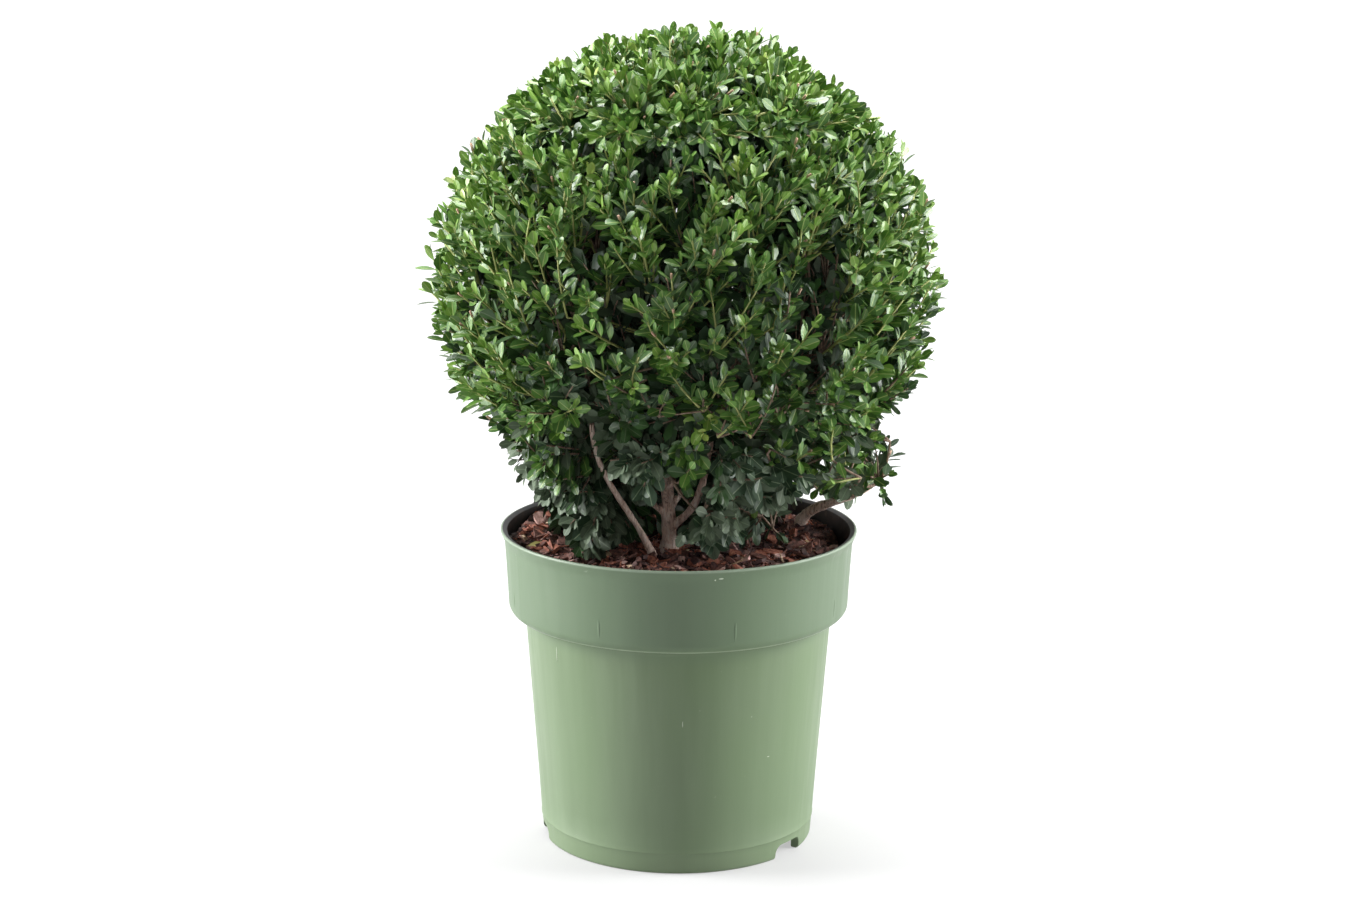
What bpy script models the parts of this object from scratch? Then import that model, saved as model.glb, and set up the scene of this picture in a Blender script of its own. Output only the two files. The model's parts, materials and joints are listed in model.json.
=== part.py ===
"""A potted Japanese holly clipped to a ball, for Blender 4.5, in metres with +Z up.

The origin is on the pot's axis at its flat underside, and the front is -Y. Each sub-part is one closed
object: the pot, the bark mulch that fills it, every stem and bough, and every mass of foliage. Solids that
meet face to face keep a small gap. Foliage grows by one rule: points lie evenly on shells inside the ball,
each point's twig springs from the nearest point that is already joined to the mass's stem, and each outer
twig ends in two whorls of leaves.
"""

import math
import random

import bmesh
import bpy
from mathutils import Matrix, Vector

# The pot. Radii are of its outside, and heights are above the ground.
POT_HEIGHT = 0.250
LIP_RADIUS = 0.140
LIP_HEIGHT = 0.005
BAND_TOP_RADIUS = 0.1366
BAND_FOOT_RADIUS = 0.1338
BAND_HEIGHT = 0.067
BAND_ROUNDING = 0.008
BODY_TOP_RADIUS = 0.1208
BODY_FOOT_RADIUS = 0.1070
FOOT_RADIUS = 0.1045
FOOT_ROUNDING = 0.003
FOOT_RING = 0.0045
FLOOR_TOP = 0.0165
FLOOR_THICKNESS = 0.003
WALL = 0.0025
ROUND_SEGMENTS = 48
NOTCH_AZIMUTHS = (-35.0, 10.0, 145.0, 190.0)
NOTCH_WIDTH = 0.033
NOTCH_HEIGHT = 0.0115

# The mulch. It is level round the stems, and lower towards the pot's wall.
SOIL_LEVEL = 0.232
SOIL_DIP = 0.007
SOIL_BUMP = 0.0025
LEVEL_RADIUS = 0.045
STUMP_CLEARING = 0.026
SOIL_RINGS = (0.120, 0.106, 0.091, 0.075, 0.058, 0.034)

# The ball of foliage, and the levels that part its masses.
BALL_CENTRE = Vector((0.004, 0.0, 0.444))
BALL_RADIUS = 0.201
CORE_RADIUS = 0.172
CORE_LUMP = 0.004
CORE_INSET = 0.003
HOLLOW_RADIUS = 0.062
TOP_LEVEL = 0.567
SKIRT_LEVEL = 0.347
SKIRT_FOOT = 0.255

# Clearances.
SEAT_GAP = 0.0003
WALL_GAP = 0.0005
ROOM_GAP = 0.0005
LIMB_CLEARANCE = 0.0012

# The stems that rise from the mulch, as the places of their feet and tips.
TRUNK_FOOT = Vector((-0.008, -0.014, SOIL_LEVEL + SEAT_GAP))
TRUNK_FORK = Vector((-0.012, -0.012, 0.330))
TRUNK_RADIUS = 0.0065
FORK_RADIUS = 0.0045
STEM_TIP_RADIUS = 0.0022
LEADER_DROP = 0.003
LEFT_RADIUS = 0.0028
LEFT_FOOT = Vector((-0.020, -0.028, SOIL_LEVEL + SEAT_GAP))
LEFT_HEADING = Vector((-0.34, -0.30, 1))
LEFT_TIP = Vector((-0.066, -0.066, 0.3415))
STUMP_RADIUS = 0.0058
STUMP_FOOT = Vector((0.0985, 0.058, SOIL_LEVEL + SEAT_GAP))
LOW_BOUGH_TIP = Vector((0.153, 0.035, 0.275))
LOW_BOUGH_HEADING = Vector((0.9, -0.3, 0.9))

# The boughs that spring from the trunk: azimuth and height of the collar, those of the tip, and the radius.
BOUGHS = {
    "bough_right": (-12, 0.252, -26, 0.365, 0.0035),
    "bough_front": (-86, 0.312, -86, 0.402, 0.0030),
    "bough_back_right": (34, 0.294, 34, 0.410, 0.0032),
    "bough_back": (94, 0.304, 94, 0.415, 0.0032),
    "bough_back_left": (154, 0.288, 154, 0.408, 0.0032),
    "bough_skirt_front": (-100, 0.272, -94, 0.298, 0.0024),
    "bough_skirt_left": (189, 0.262, 189, 0.298, 0.0026),
    "bough_skirt_back_left": (120, 0.256, 120, 0.300, 0.0026),
    "bough_skirt_back_right": (48, 0.266, 48, 0.300, 0.0026),
}
BOUGH_TIP_DISTANCE = 0.052
BOUGH_RISE = math.radians(38)
BOUGH_TAPER = 0.62
COLLAR_LENGTH = 0.007
COLLAR_SWELL = 0.0007

# The masses round the ball's sides: from one azimuth to the next, and the limb that carries each.
SIDE_MASSES = {
    "crown_front": (-115.5, -58.0, "bough_front"),
    "crown_right": (-54.0, 4.0, "bough_right"),
    "crown_back_right": (4.0, 64.0, "bough_back_right"),
    "crown_back": (64.0, 124.0, "bough_back"),
    "crown_back_left": (124.0, 184.0, "bough_back_left"),
    "crown_left": (184.0, 244.5, "stem_left"),
}
# The masses under the ball: the azimuths, the limb, and whether the mass is dense enough to have a core.
SKIRT_MASSES = {
    "skirt_front": (232.0, 300.0, "bough_skirt_front", False),
    "skirt_right": (-60.0, 12.0, "stem_right", False),
    "skirt_back_right": (12.0, 84.0, "bough_skirt_back_right", True),
    "skirt_back_left": (84.0, 156.0, "bough_skirt_back_left", True),
    "skirt_left": (156.0, 222.0, "bough_skirt_left", True),
}
SPRAY_REACH = 0.226
SPRAY_SPREAD = 0.174

# The growth rule. Each shell has its share of the reach and its number of points over the whole ball.
SHELLS = ((0.50, 24), (0.74, 76), (0.905, 146))
SHELL_JITTER = 0.05
PATH_WEIGHT = 0.35
GROWTH_SEED = 18
TWIG_RADIUS = 0.0016
TWIG_TIP_RADIUS = 0.0012
TWIG_OVERLAP = 0.0008
STEM_LENGTH = 0.026
LEAF_LENGTH = 0.032
LEAF_WIDTH = 0.0190
LEAF_WIDEST = 0.56
LEAF_THICKNESS = 0.0010
LEAF_CUP = 0.0008
LEAF_SWAY = math.radians(12)
LEAF_TURN = math.radians(137.5)
# The turn and lean, in degrees, that a leaf tries in order until it fits its mass's room.
LEAF_TRIALS = ((0, 0), (0, 14), (25, 0), (-25, 0), (0, -16), (0, -32))
WHORLS = (math.radians(74), math.radians(55))
WHORL_LENGTH = 0.0028
WHORL_TWISTS = (0.0, 0.0, math.radians(35), math.radians(95))

# Colours as (red, green, blue), with roughness.
FINISHES = {
    "pot_green": ((0.30, 0.46, 0.29), 0.45),
    "mulch": ((0.09, 0.045, 0.03), 0.95),
    "bark": ((0.30, 0.22, 0.16), 0.85),
    "foliage": ((0.07, 0.20, 0.045), 0.50),
}


# Helpers


def clear_scene():
    for obj in list(bpy.data.objects):
        bpy.data.objects.remove(obj)


def finish(name):
    """The plain material of that name, made once."""
    material = bpy.data.materials.get(name)
    if material is None:
        colour, roughness = FINISHES[name]
        material = bpy.data.materials.new(name)
        material.use_nodes = True
        shader = material.node_tree.nodes["Principled BSDF"]
        shader.inputs["Base Color"].default_value = (*colour, 1.0)
        shader.inputs["Roughness"].default_value = roughness
        shader.inputs["Metallic"].default_value = 0.0
    return material


def mesh_of(bm, name):
    """The bmesh as a mesh with its faces pointing out."""
    bmesh.ops.recalc_face_normals(bm, faces=bm.faces)
    if bm.calc_volume(signed=True) < 0:
        bmesh.ops.reverse_faces(bm, faces=bm.faces)
    mesh = bpy.data.meshes.new(name)
    bm.to_mesh(mesh)
    bm.free()
    return mesh


def add(name, mesh, material=None, matrix=None, collection=None):
    obj = bpy.data.objects.new(name, mesh)
    (collection or bpy.context.scene.collection).objects.link(obj)
    if matrix is not None:
        obj.matrix_world = matrix
    if material:
        mesh.materials.append(finish(material))
    return obj


def apply_modifiers(obj):
    bpy.context.view_layer.update()
    evaluated = obj.evaluated_get(bpy.context.evaluated_depsgraph_get())
    shaped = bpy.data.meshes.new_from_object(evaluated)
    obj.modifiers.clear()
    obj.data = shaped


def fuse(obj, pieces):
    """Joins the pieces, which are meshes, to the object with one Boolean union."""
    loose = bpy.data.collections.new(obj.name + "_pieces")
    bpy.context.scene.collection.children.link(loose)
    for index, mesh in enumerate(pieces):
        add(f"{obj.name}_piece_{index}", mesh, collection=loose)
    union = obj.modifiers.new("Fuse", "BOOLEAN")
    union.operation = "UNION"
    union.operand_type = "COLLECTION"
    union.solver = "MANIFOLD"
    union.collection = loose
    apply_modifiers(obj)
    for piece in list(loose.objects):
        bpy.data.objects.remove(piece)
    bpy.data.collections.remove(loose)


def keep_one_body(obj):
    """Drops loose scraps, and fills hollows that fusing sealed, by keeping the largest connected shell."""
    bm = bmesh.new()
    bm.from_mesh(obj.data)
    shells, seen = [], set()
    for seed in bm.faces:
        if seed in seen:
            continue
        shell, front = [], [seed]
        seen.add(seed)
        while front:
            face = front.pop()
            shell.append(face)
            for near in (f for edge in face.edges for f in edge.link_faces if f not in seen):
                seen.add(near)
                front.append(near)
        shells.append(shell)
    shells.sort(key=len)
    scraps = {vert for shell in shells[:-1] for face in shell for vert in face.verts}
    bmesh.ops.delete(bm, geom=list(scraps), context="VERTS")
    bm.to_mesh(obj.data)
    bm.free()


def frame_along(direction, facing):
    """A rotation whose +Z lies along the direction, and whose +X is as near to facing as that allows."""
    along = direction.normalized()
    side = facing - along * facing.dot(along)
    if side.length < 1e-4:
        side = along.orthogonal()
    side.normalize()
    return Matrix((side, along.cross(side), along)).transposed().to_4x4()


def polar(azimuth, radius, height):
    """A point round the pot's axis. The azimuth is in degrees, from +X towards +Y."""
    turn = math.radians(azimuth)
    return Vector((radius * math.cos(turn), radius * math.sin(turn), height))


def smoothstep(low, high, value):
    share = min(1.0, max(0.0, (value - low) / (high - low)))
    return share * share * (3 - 2 * share)


def lathe(profile):
    """A closed solid turned from a profile of (radius, height) that starts and ends on the axis."""
    bm = bmesh.new()
    chain = [bm.verts.new((radius, 0.0, height)) for radius, height in profile]
    edges = [bm.edges.new(pair) for pair in zip(chain, chain[1:])]
    bmesh.ops.spin(
        bm,
        geom=chain + edges,
        axis=(0, 0, 1),
        cent=(0, 0, 0),
        angle=2 * math.pi,
        steps=ROUND_SEGMENTS,
        use_merge=True,
    )
    bmesh.ops.remove_doubles(bm, verts=bm.verts, dist=1e-5)
    return bm


def unit_tube(sides, steps):
    """A closed tube of radius 1 with rings at heights 0, 1, 2 and so on, and the wall faces of each step."""
    bm = bmesh.new()
    bmesh.ops.create_circle(bm, cap_ends=True, segments=sides, radius=1.0)
    cap = bm.faces[:][0]
    walls = []
    for step in range(steps):
        moved = bmesh.ops.extrude_face_region(bm, geom=[cap])["geom"]
        if step:
            bmesh.ops.delete(bm, geom=[cap], context="FACES_ONLY")
        cap = next(item for item in moved if isinstance(item, bmesh.types.BMFace))
        bmesh.ops.translate(bm, verts=cap.verts, vec=(0, 0, 1))
        walls.append([face for edge in cap.edges for face in edge.link_faces if face is not cap])
    return bm, walls


# The pot and its mulch


def outer_wall():
    """The pot's outside as (radius, height), from its foot to the top of its lip."""
    ledge = POT_HEIGHT - BAND_HEIGHT
    lip_foot = POT_HEIGHT - LIP_HEIGHT
    bevel = 0.2 * LIP_HEIGHT
    corner = BAND_ROUNDING * (1 - math.sqrt(0.5))
    return [
        (FOOT_RADIUS, 0.0),
        (BODY_FOOT_RADIUS, FOOT_ROUNDING),
        (BODY_TOP_RADIUS, ledge),
        (BAND_FOOT_RADIUS - BAND_ROUNDING, ledge + 0.1 * BAND_ROUNDING),
        (BAND_FOOT_RADIUS - corner, ledge + corner),
        (BAND_FOOT_RADIUS, ledge + BAND_ROUNDING),
        (BAND_TOP_RADIUS, lip_foot - bevel),
        (LIP_RADIUS, lip_foot + bevel),
        (LIP_RADIUS, POT_HEIGHT - bevel),
        (LIP_RADIUS - bevel, POT_HEIGHT),
    ]


def inner_wall():
    """The pot's inside as (radius, height), from the top of its lip to its floor."""
    ledge = POT_HEIGHT - BAND_HEIGHT
    return [
        (BAND_TOP_RADIUS - 0.4 * WALL, POT_HEIGHT),
        (BAND_TOP_RADIUS - WALL, POT_HEIGHT - LIP_HEIGHT),
        (BAND_FOOT_RADIUS - WALL, ledge + BAND_ROUNDING),
        (BODY_TOP_RADIUS - WALL, ledge + WALL),
        (BODY_FOOT_RADIUS - WALL, FLOOR_TOP),
    ]


def inner_radius(height):
    """The inside radius of the pot at a height."""
    for (upper_radius, upper), (lower_radius, lower) in zip(inner_wall(), inner_wall()[1:]):
        if lower <= height <= upper:
            return lower_radius + (upper_radius - lower_radius) * (height - lower) / (upper - lower)
    return inner_wall()[-1][0]


def cut_notch(pot, azimuth):
    """Takes a drainage arch out of the foot ring, with a block whose upper corners are rounded."""
    depth, sunk = 0.020, 0.010
    bm = bmesh.new()
    bmesh.ops.create_cube(bm, size=1.0)
    bmesh.ops.scale(bm, verts=bm.verts, vec=(depth, NOTCH_WIDTH, NOTCH_HEIGHT + sunk))
    upper = [e for e in bm.edges if all(v.co.z > 0 for v in e.verts) and e.verts[0].co.y == e.verts[1].co.y]
    bmesh.ops.bevel(
        bm, geom=upper, offset=0.6 * NOTCH_HEIGHT, segments=2, profile=0.5, affect="EDGES", material=-1
    )
    turn = Matrix.Rotation(math.radians(azimuth), 4, "Z")
    place = Matrix.Translation(polar(azimuth, FOOT_RADIUS, 0.5 * (NOTCH_HEIGHT - sunk)))
    cutter = add(f"notch_cutter_{azimuth:.0f}", mesh_of(bm, "notch"), matrix=place @ turn)
    cutter.hide_render = True
    cutter.display_type = "WIRE"
    cut = pot.modifiers.new("Notch", "BOOLEAN")
    cut.operation = "DIFFERENCE"
    cut.object = cutter


def make_pot():
    """A thin round pot with a wide band under its lip, a raised floor, and arches through its foot ring."""
    recess = FLOOR_TOP - FLOOR_THICKNESS
    under = [(0.0, recess), (FOOT_RADIUS - FOOT_RING, recess), (FOOT_RADIUS - FOOT_RING, 0.0)]
    profile = under + outer_wall() + inner_wall() + [(0.0, FLOOR_TOP)]
    pot = add("pot", mesh_of(lathe(profile), "pot"), "pot_green")
    for azimuth in NOTCH_AZIMUTHS:
        cut_notch(pot, azimuth)
    pot.data.shade_smooth()
    pot.data.set_sharp_from_angle(angle=math.radians(30))


def soil_height(x, y):
    """The mulch's surface: level round the stems and the stump, uneven between them, lower at the wall."""
    radius = math.hypot(x, y)
    waves = math.sin(71 * x + 40 * y + 0.6) + math.sin(-46 * x + 83 * y + 2.1)
    rough = SOIL_BUMP * waves * smoothstep(LEVEL_RADIUS, LEVEL_RADIUS + 0.03, radius)
    dip = SOIL_DIP * smoothstep(0.085, 0.134, radius)
    clearing = math.hypot(x - STUMP_FOOT.x, y - STUMP_FOOT.y)
    return SOIL_LEVEL + (rough - dip) * smoothstep(STUMP_CLEARING, STUMP_CLEARING + 0.014, clearing)


def make_mulch():
    """Everything inside the pot up to the mulch's surface, clear of the wall all round."""
    below = [(radius - WALL_GAP, height) for radius, height in reversed(inner_wall()[2:])]
    below[0] = (below[0][0], FLOOR_TOP + SEAT_GAP)
    edge = inner_radius(SOIL_LEVEL)
    surface = [(ring, SOIL_LEVEL) for ring in (edge, *SOIL_RINGS)]
    bm = lathe([(0.0, FLOOR_TOP + SEAT_GAP)] + below + surface + [(0.0, SOIL_LEVEL)])
    for vert in bm.verts:
        if vert.co.z > SOIL_LEVEL - 1e-5:
            radius = math.hypot(vert.co.x, vert.co.y)
            vert.co.z = soil_height(vert.co.x, vert.co.y)
            if radius > edge - 1e-4:
                vert.co.xy *= (inner_radius(vert.co.z) - WALL_GAP) / radius
    add("mulch", mesh_of(bm, "mulch"), "mulch")


# Stems and boughs


class Limb:
    """One tapering limb along a smooth curve, with its directions at both ends."""

    def __init__(self, start, heading, end, arrival, radius, tip_radius, steps=6):
        self.heading, self.arrival = heading.normalized(), arrival.normalized()
        self.radius, self.tip_radius = radius, tip_radius
        reach = (end - start).length
        self.points = []
        for index in range(steps + 1):
            t = index / steps
            self.points.append(
                start * (2 * t**3 - 3 * t**2 + 1)
                + self.heading * reach * (t**3 - 2 * t**2 + t)
                + end * (3 * t**2 - 2 * t**3)
                + self.arrival * reach * (t**3 - t**2)
            )

    def radius_at(self, share):
        return self.radius + (self.tip_radius - self.radius) * share

    def point_at_height(self, height):
        """The point of the axis at a height, and its share of the length."""
        for index, (a, b) in enumerate(zip(self.points, self.points[1:])):
            if a.z <= height <= b.z:
                share = (height - a.z) / (b.z - a.z)
                return a.lerp(b, share), (index + share) / (len(self.points) - 1)
        raise ValueError(height)

    def tangent(self, index):
        if index == 0:
            return self.heading
        if index == len(self.points) - 1:
            return self.arrival
        return (self.points[index + 1] - self.points[index - 1]).normalized()

    def distance(self, point):
        """How far a point lies from this limb's surface."""
        nearest = math.inf
        last = len(self.points) - 1
        for index, (a, b) in enumerate(zip(self.points, self.points[1:])):
            along = b - a
            share = min(1.0, max(0.0, (point - a).dot(along) / along.length_squared))
            gap = (point - a - along * share).length - self.radius_at((index + share) / last)
            nearest = min(nearest, gap)
        return nearest

    def onward(self, length, tip_radius, steps=2):
        """The limb that meets this one's tip across the seat gap and runs on."""
        start = self.points[-1] + self.arrival * SEAT_GAP
        end = start + self.arrival * length
        return Limb(start, self.arrival, end, self.arrival, self.tip_radius, tip_radius, steps)

    def ring_frames(self, level_foot):
        """A rotation for each ring, turned as little as possible from one ring to the next."""
        frames = []
        side = Vector((1, 0, 0))
        for index in range(len(self.points)):
            along = Vector((0, 0, 1)) if level_foot and index == 0 else self.tangent(index)
            frames.append(frame_along(along, side).to_3x3())
            side = frames[-1].col[0]
        return frames

    def mesh(self, name, sides=8, level_foot=False, swell=None):
        """A tube with flat ends: a straight one extruded ring by ring, then laid along the curve."""
        last = len(self.points) - 1
        bm, _ = unit_tube(sides, last)
        frames = self.ring_frames(level_foot)
        for vert in bm.verts:
            index = round(vert.co.z)
            turn = math.atan2(vert.co.y, vert.co.x)
            spread = self.radius_at(index / last) * (swell(index / last, turn) if swell else 1.0)
            outward = frames[index] @ Vector((math.cos(turn), math.sin(turn), 0))
            vert.co = self.points[index] + outward * spread
        return mesh_of(bm, name)


def root_flare(share, turn):
    """How much wider the trunk is at its foot, with three low roots."""
    foot = math.exp(-14 * share)
    return 1 + foot * (0.42 + 0.16 * math.cos(3 * turn + 0.5))


def collar(trunk, azimuth, height, radius):
    """The short stub that a bough springs from, as a limb from the trunk's axis to its flat end."""
    start, share = trunk.point_at_height(height)
    heading = polar(azimuth, math.cos(BOUGH_RISE), math.sin(BOUGH_RISE))
    end = start + heading * (trunk.radius_at(share) + COLLAR_LENGTH)
    return Limb(start, heading, end, heading, radius + COLLAR_SWELL, radius, steps=1)


def plan_limbs():
    """Every stem and bough by name, and the trunk's collars."""
    up = Vector((0, 0, 1))
    leaning = Vector((-0.02, 0.05, 1))
    trunk = Limb(TRUNK_FOOT, Vector((0.05, 0, 1)), TRUNK_FORK, leaning, TRUNK_RADIUS, FORK_RADIUS)
    limbs = {"trunk": trunk}
    limbs["stem_left"] = Limb(
        LEFT_FOOT, LEFT_HEADING, LEFT_TIP, Vector((-0.06, -0.06, 1)), LEFT_RADIUS, STEM_TIP_RADIUS
    )
    limbs["stem_right"] = Limb(
        STUMP_FOOT, Vector((-0.2, 0.1, 1)), LOW_BOUGH_TIP, LOW_BOUGH_HEADING, STUMP_RADIUS, STEM_TIP_RADIUS
    )
    leader_foot = TRUNK_FORK + trunk.arrival * SEAT_GAP
    leader_tip = Vector((BALL_CENTRE.x, BALL_CENTRE.y, TOP_LEVEL - LEADER_DROP))
    limbs["bough_top"] = Limb(leader_foot, trunk.arrival, leader_tip, up, FORK_RADIUS, STEM_TIP_RADIUS)
    collars = []
    for name, (azimuth, height, tip_azimuth, tip_height, radius) in BOUGHS.items():
        stub = collar(trunk, azimuth, height, radius)
        collars.append(stub)
        start = stub.points[-1] + stub.heading * SEAT_GAP
        tip = polar(tip_azimuth, BOUGH_TIP_DISTANCE, tip_height)
        outward = polar(tip_azimuth, 1.0, 0.35)
        limbs[name] = Limb(start, stub.heading, tip, outward, radius, BOUGH_TAPER * radius)
    return limbs, collars


def make_limbs(limbs, collars):
    for name, limb in limbs.items():
        from_ground = name.startswith(("trunk", "stem"))
        swell = root_flare if from_ground else None
        add(name, limb.mesh(name, level_foot=from_ground, swell=swell), "bark")
    fuse(bpy.data.objects["trunk"], [stub.mesh("collar") for stub in collars])


# Foliage


class Room:
    """The space that a mass keeps to: inside the ball, and on the inner side of some planes."""

    def __init__(self, planes, reach=BALL_RADIUS, spread=math.inf):
        self.planes, self.reach, self.spread = planes, reach, spread

    def holds(self, point):
        if (point - BALL_CENTRE).length > self.reach or math.hypot(point.x, point.y) > self.spread:
            return False
        return all(normal.dot(point) <= limit - ROOM_GAP for normal, limit in self.planes)


def sector(low, high, floor, ceiling):
    """The planes between two azimuths, two heights, and outside the hollow where the boughs rise."""
    middle = 0.5 * (low + high)
    return [
        (polar(low - 90, 1.0, 0.0), 0.0),
        (polar(high + 90, 1.0, 0.0), 0.0),
        (Vector((0, 0, -1)), -floor),
        (Vector((0, 0, 1)), ceiling),
        (polar(middle + 180, 1.0, 0.0), -HOLLOW_RADIUS),
    ]


def make_core(room):
    """The dark heart of a dense mass: a lumpy ball cut down to the mass's own room."""
    bm = bmesh.new()
    bmesh.ops.create_icosphere(bm, subdivisions=3, radius=1.0)
    for vert in bm.verts:
        wave = math.sin(9 * vert.co.x + 3) * math.sin(8 * vert.co.y + 1) * math.sin(10 * vert.co.z + 2)
        vert.co = BALL_CENTRE + vert.co * (CORE_RADIUS + CORE_LUMP * wave)
    for normal, limit in room.planes:
        geom = bm.verts[:] + bm.edges[:] + bm.faces[:]
        place = normal * (limit - CORE_INSET)
        cut = bmesh.ops.bisect_plane(
            bm, geom=geom, dist=1e-6, plane_co=place, plane_no=normal, clear_outer=True
        )
        rim = [item for item in cut["geom_cut"] if isinstance(item, bmesh.types.BMEdge)]
        bmesh.ops.contextual_create(bm, geom=rim)
    bmesh.ops.triangulate(bm, faces=[face for face in bm.faces if len(face.verts) > 4])
    return mesh_of(bm, "core")


class Leaf:
    """A leaf's place: its root, its heading, its flat side's normal, and its breadth's direction."""

    def __init__(self, root, along, out, pitch):
        self.root = root
        self.heading = along * math.cos(pitch) + out * math.sin(pitch)
        self.normal = along * math.sin(pitch) - out * math.cos(pitch)
        self.breadth = self.heading.cross(self.normal)

    def corner(self, right, upper):
        """A corner of its widest section."""
        aside = 0.5 * LEAF_WIDTH if right else -0.5 * LEAF_WIDTH
        above = 0.5 * LEAF_THICKNESS if upper else -0.5 * LEAF_THICKNESS
        middle = self.root + self.heading * LEAF_WIDEST * LEAF_LENGTH
        return middle + self.breadth * aside + self.normal * (above + LEAF_CUP)

    def tip(self):
        return self.root + self.heading * LEAF_LENGTH

    def outline(self):
        sides = (False, True)
        return [self.corner(right, upper) for right in sides for upper in sides] + [self.tip()]

    def draw_out(self, bm, wall):
        """Draws the leaf out of a wall face of its twig: a section at its widest, then a point."""
        middle = wall.calc_center_median()
        face = bmesh.ops.extrude_discrete_faces(bm, faces=[wall])["faces"][0]
        for vert in face.verts:
            offset = vert.co - middle
            vert.co = self.corner(offset.dot(self.breadth) > 0, offset.dot(self.normal) > 0)
        point = bmesh.ops.poke(bm, faces=[face])["verts"][0]
        point.co = self.tip()


def make_twig(start, end):
    """A bare three-sided twig that runs a little past both of its ends."""
    along = (end - start).normalized()
    length = (end - start).length + 2 * TWIG_OVERLAP
    bm = bmesh.new()
    bmesh.ops.create_cone(
        bm, cap_ends=True, segments=3, radius1=TWIG_RADIUS, radius2=TWIG_TIP_RADIUS, depth=length
    )
    bmesh.ops.transform(bm, matrix=frame_along(along, Vector((0, 0, 1))), verts=bm.verts)
    bmesh.ops.translate(bm, vec=0.5 * (start + end), verts=bm.verts)
    return mesh_of(bm, "twig")


def make_spray(start, end, fits, rng):
    """A three-sided twig with two whorls of leaves at its end, each drawn out of one side of the twig."""
    along = (end - start).normalized()
    length = (end - start).length
    frame = frame_along(along, along.orthogonal()).to_3x3()
    heights = (-TWIG_OVERLAP, length - len(WHORLS) * WHORL_LENGTH, length - WHORL_LENGTH, length)
    bm, walls = unit_tube(3, len(heights) - 1)
    for vert in bm.verts:
        ring = round(vert.co.z)
        turn = math.atan2(vert.co.y, vert.co.x) + WHORL_TWISTS[ring]
        radius = TWIG_RADIUS + (TWIG_TIP_RADIUS - TWIG_RADIUS) * ring / (len(heights) - 1)
        vert.co = start + frame @ Vector((radius * math.cos(turn), radius * math.sin(turn), heights[ring]))
    for pitch, sides in zip(WHORLS, walls[1:]):
        for wall in sides:
            root = wall.calc_center_median()
            out = (root - start) - along * (root - start).dot(along)
            for turn, lean in LEAF_TRIALS:
                sway = rng.uniform(-LEAF_SWAY, LEAF_SWAY)
                turned = Matrix.Rotation(math.radians(turn) + sway, 3, along) @ out.normalized()
                leaf = Leaf(root, along, turned, pitch + math.radians(lean) + 0.5 * sway)
                if fits(leaf):
                    leaf.draw_out(bm, wall)
                    break
    return mesh_of(bm, "spray")


def shell_points(room, rng):
    """The points of every shell that lie in the room, as (point, index of the shell)."""
    points = []
    for shell, (share, count) in enumerate(SHELLS):
        for index in range(count):
            height = 1 - (2 * index + 1) / count
            turn = index * LEAF_TURN + shell
            flat = math.sqrt(1 - height * height)
            aside = Vector([rng.uniform(-SHELL_JITTER, SHELL_JITTER) for _ in range(3)])
            outward = (Vector((flat * math.cos(turn), flat * math.sin(turn), height)) + aside).normalized()
            point = BALL_CENTRE + outward * room.reach * share * rng.uniform(0.985, 1.01)
            if room.holds(point):
                points.append((point, shell))
    return points


def grow(room, foot, limbs, rng):
    """Joins each shell point to the nearest point joined before it. Gives (start, end, outermost or not)."""
    outermost = len(SHELLS) - 1
    joined = [(foot, 0.0)]
    twigs = []
    for point, shell in sorted(shell_points(room, rng), key=lambda item: (item[1], (item[0] - foot).length)):
        start, path = min(joined, key=lambda node: (node[0] - point).length + PATH_WEIGHT * node[1])
        steps = [start.lerp(point, 0.1 * index) for index in range(1, 11)]
        if min(limb.distance(step) for limb in limbs for step in steps) < TWIG_RADIUS + LIMB_CLEARANCE:
            continue
        twigs.append((start, point, shell == outermost))
        if shell < outermost:
            joined.append((point, path + (point - start).length))
    return twigs


def make_mass(name, room, carrier, limbs, dense):
    """One mass of foliage: a stem that meets its limb, twigs, leaves, and a core if the mass is dense."""
    rng = random.Random(f"{name} {GROWTH_SEED}")

    def fits(leaf):
        outline = leaf.outline()
        clearance = min(limb.distance(point) for limb in limbs for point in outline)
        return clearance > LIMB_CLEARANCE and all(room.holds(point) for point in outline)

    stem = carrier.onward(STEM_LENGTH, TWIG_RADIUS)
    pieces = [make_core(room)] if dense else []
    for start, end, outermost in grow(room, stem.points[-1], limbs, rng):
        leafy = outermost or not dense
        pieces.append(make_spray(start, end, fits, rng) if leafy else make_twig(start, end))
    mass = add(name, stem.mesh(name), "foliage")
    fuse(mass, pieces)
    keep_one_body(mass)


def make_foliage(limbs):
    every = list(limbs.values())
    cap = Room([(Vector((0, 0, -1)), -TOP_LEVEL)])
    make_mass("crown_top", cap, limbs["bough_top"], every, dense=True)
    for name, (low, high, carrier) in SIDE_MASSES.items():
        room = Room(sector(low, high, SKIRT_LEVEL, TOP_LEVEL))
        make_mass(name, room, limbs[carrier], every, dense=True)
    for name, (low, high, carrier, dense) in SKIRT_MASSES.items():
        planes = sector(low, high, SKIRT_FOOT, SKIRT_LEVEL)
        room = Room(planes, SPRAY_REACH, SPRAY_SPREAD) if carrier == "stem_right" else Room(planes)
        make_mass(name, room, limbs[carrier], every, dense)


def main():
    clear_scene()
    make_pot()
    make_mulch()
    limbs, collars = plan_limbs()
    make_limbs(limbs, collars)
    make_foliage(limbs)


main()
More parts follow.
